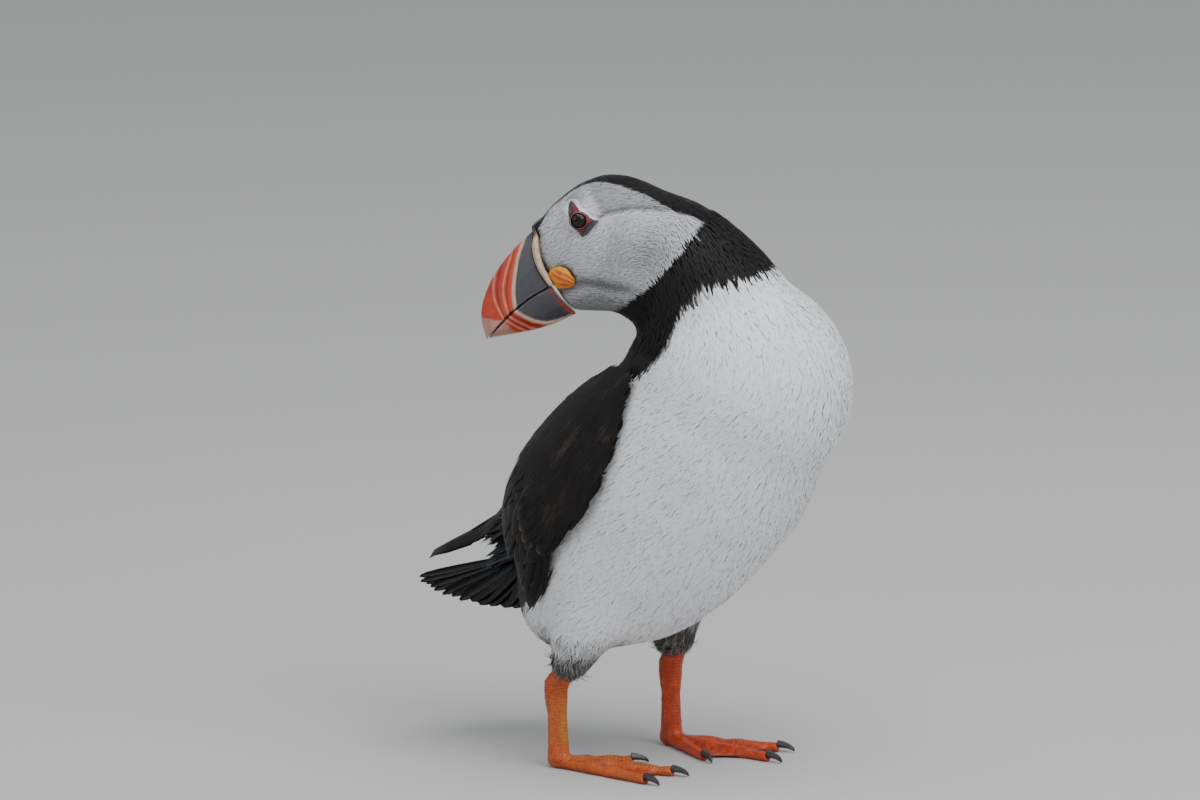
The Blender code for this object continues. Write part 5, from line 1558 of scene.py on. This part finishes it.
leg_skin = leg_finish()
for side, sign in (("left", 1.0), ("right", -1.0)):
    shank_verts = verts_of(nodes["tarsus_" + side].data)
    foot_of_shank = shank_verts[shank_verts[:, 2] < shank_verts[:, 2].min() + 0.0006]
    leg_middle = foot_of_shank.mean(0)
    joint = (tuple(leg_middle), JOINT_PUTTY)
    leg, places, normals, _ = carved("leg_" + side, ("tarsus_" + side, "foot_" + side), LEG_GRAIN, 4, (joint,))
    up = places[:, 2]
    front = -normals[:, 1]
    shank = fade(up, *SHANK_STARTS)
    scutes = np.abs(np.sin(np.pi * (up + 0.0002 * np.sin(places[:, 0] / 0.0008)) / SCUTE)) ** 0.6
    folds = bump_at(up, ANKLE_UP, 0.0055) + 0.6 * bump_at(up, 0.0095, 0.0022) * fade(front, 0.0, 0.5)
    wrinkles = np.sin(2 * np.pi * (up + 0.00035 * np.sin(places[:, 0] / 0.0011 + 1)) / ANKLE_FOLDS)
    press = SCUTE_DEPTH * (scutes - 0.7) * fade(front, -0.2, 0.4) * (1 - folds)
    knobs = np.clip(wander(places, 0.0009, 5.0), 0, 1) * fade(-front, 0.2, 0.8)
    press = (press + ANKLE_FOLD_DEPTH * wrinkles * folds + KNOB_HEIGHT * knobs) * shank

    root = leg_middle[:2]
    on_toe, along_toe = toes_of(places, root, side, sign)
    top = fade(normals[:, 2], 0.0, 0.4)
    toe_scutes = np.abs(np.sin(np.pi * along_toe / TOE_SCUTE)) ** 0.5
    creases = np.linalg.norm(places[:, :2] - root, axis=1) / WEB_CREASE + 2.0 * np.sin(places[:, 0] / 0.003)
    creases = np.sin(creases) * (1 - on_toe) * fade(up, 0.0006, 0.0010)
    foot_press = TOE_SCUTE_DEPTH * (toe_scutes - 0.7) * on_toe * top + WEB_CREASE_DEPTH * creases * top
    pressed(leg, places, normals, press + foot_press * fade(up, 0.0004, 0.0012) * (1 - shank))

    aside = (places[:, 0] - leg_middle[0]) / SHANK_HALF
    on_foot = 1 - shank
    colour = np.tile(np.asarray(LEG_ORANGE[side]), (len(places), 1))
    ochre = OCHRE_SHARE[side] * bump_at(aside, OCHRE_ASIDE[side], 0.55) * fade(front, -0.7, -0.1)
    ochre = ochre * (1 - 0.8 * bump_at(up, ANKLE_UP, 0.006)) + 0.12 * wander(places, 0.003)
    colour = mixed_rows(colour, LEG_OCHRE, np.clip(ochre, 0, 1) * shank)
    # Painted shade: the back of the shank is painted redder and then darker, more on the far leg. The troughs of
    # the ankle's wrinkles are painted redder too.
    red = RED_SHADE_BEHIND[side] * fade(-front, 0.1, 0.8) + 0.35 * np.clip(-wrinkles * folds, 0, 1)
    colour = mixed_rows(colour, LEG_RED, np.clip(red, 0, 1) * shank)
    colour = mixed_rows(colour, LEG_SHADE, SHADE_BEHIND[side] * fade(-front, 0.6, 0.97) * shank)
    colour = mixed_rows(colour, LEG_OCHRE, TOE_OCHRE[side] * on_toe * top * on_foot)
    colour = mixed_rows(colour, LEG_RED, np.clip(0.40 * (1 - on_toe) + 0.2 * creases, 0, 1) * on_foot)
    # Painted shade: darker at the very bottom, where the foot meets the floor.
    colour = mixed_rows(colour, LEG_SHADE, 0.5 * (1 - fade(up, 0.0, 0.0016)))
    seams = (1 - scutes) * fade(front, -0.2, 0.4) * shank + (1 - toe_scutes) * on_toe * top * on_foot
    paint(leg.data, "tint", colour * (1 - 0.38 * seams)[:, None])
    leg.data.materials.append(leg_skin)

claw_horn, node, surface = shader("claw horn")
cloud = node("ShaderNodeGroup", node_tree=cloudy, Tint=(*CLAW_BLACK, 1.0), Scale=900.0, Darkest=0.5,
             Lightest=1.6, Grain_Scale=3000.0)
bump = node("ShaderNodeBump", Height=cloud.outputs["Grain"], Strength=0.3, Distance=SCRATCH_DEPTH)
surface(Base_Color=cloud.outputs["Color"], Normal=bump.outputs["Normal"], Roughness=0.30, Coat_Weight=0.2)
for name, claw in nodes.items():
    if name.startswith("claw_"):
        for holder in claw.material_slots:
            holder.material = claw_horn


# THE STAND. A plain, pale, level floor, three soft square lights with a soft room round them, and the camera,
# which looks at the bird's right side from a little above.
FLOOR_COLOUR = (0.52, 0.52, 0.51)
VIEW_TURN = math.radians(-65)
VIEW_RISE = math.radians(12)
LENS = 0.300
SENSOR = 0.036
FIELD_ACROSS = 0.456
VIEW_MIDDLE = (-0.00646, 0.13528)
FLOOR_HALF = 6.0
LIT_MIDDLE = (0.0, 0.0, 0.11)
ROOM_COLOUR = (0.80, 0.83, 0.87)
ROOM_STRENGTH = 0.55

laid = bmesh.new()
bmesh.ops.create_grid(laid, x_segments=8, y_segments=8, size=FLOOR_HALF)
floor = bpy.data.objects.new("floor", bpy.data.meshes.new("floor"))
laid.to_mesh(floor.data)
laid.free()
bpy.context.scene.collection.objects.link(floor)
floor_finish, _, surface = shader("pale floor")
surface(Base_Color=(*FLOOR_COLOUR, 1), Roughness=0.9)
floor.data.materials.append(floor_finish)


def way_out(turn, rise):
    """The way from the bird towards a place at an angle round it and an angle above the floor."""
    return Vector((math.sin(turn) * math.cos(rise), -math.cos(turn) * math.cos(rise), math.sin(rise)))


def faced(made, way):
    """Turns an object so that it looks back along a way, and puts it in the scene."""
    made.rotation_euler = (-way).to_track_quat("-Z", "Y").to_euler()
    bpy.context.scene.collection.objects.link(made)


back_way = way_out(VIEW_TURN, VIEW_RISE)
right_way = Vector((math.cos(VIEW_TURN), math.sin(VIEW_TURN), 0.0))
up_way = back_way.cross(right_way)
middle = Vector(SET_OUT) + right_way * VIEW_MIDDLE[0] + up_way * VIEW_MIDDLE[1]
camera_data = bpy.data.cameras.new("camera")
camera_data.lens = LENS * 1000
camera_data.sensor_width = SENSOR * 1000
camera_data.clip_start = 0.1
camera_data.clip_end = 50.0
camera = bpy.data.objects.new("camera", camera_data)
camera.location = middle + back_way * (FIELD_ACROSS * LENS / SENSOR)
faced(camera, back_way)
bpy.context.scene.camera = camera


def lamp(name, turn, rise, reach, size, power, colour=(1, 1, 1)):
    """A square soft light that looks at the bird."""
    data = bpy.data.lights.new(name, "AREA")
    data.size = size
    data.energy = power
    data.color = colour
    made = bpy.data.objects.new(name, data)
    way = way_out(math.radians(turn), math.radians(rise))
    made.location = Vector(LIT_MIDDLE) + way * reach
    faced(made, way)


lamp("overhead", -40, 72, 1.6, 1.6, 26.0, (1.0, 0.99, 0.98))
lamp("from the breast side", -20, 30, 1.8, 1.2, 12.0, (0.97, 0.98, 1.0))
lamp("fill", -110, 20, 1.8, 1.2, 4.0)
world = bpy.data.worlds.new("soft room")
world.use_nodes = True
room_light = world.node_tree.nodes["Background"]
room_light.inputs["Color"].default_value = (*ROOM_COLOUR, 1)
room_light.inputs["Strength"].default_value = ROOM_STRENGTH
bpy.context.scene.world = world
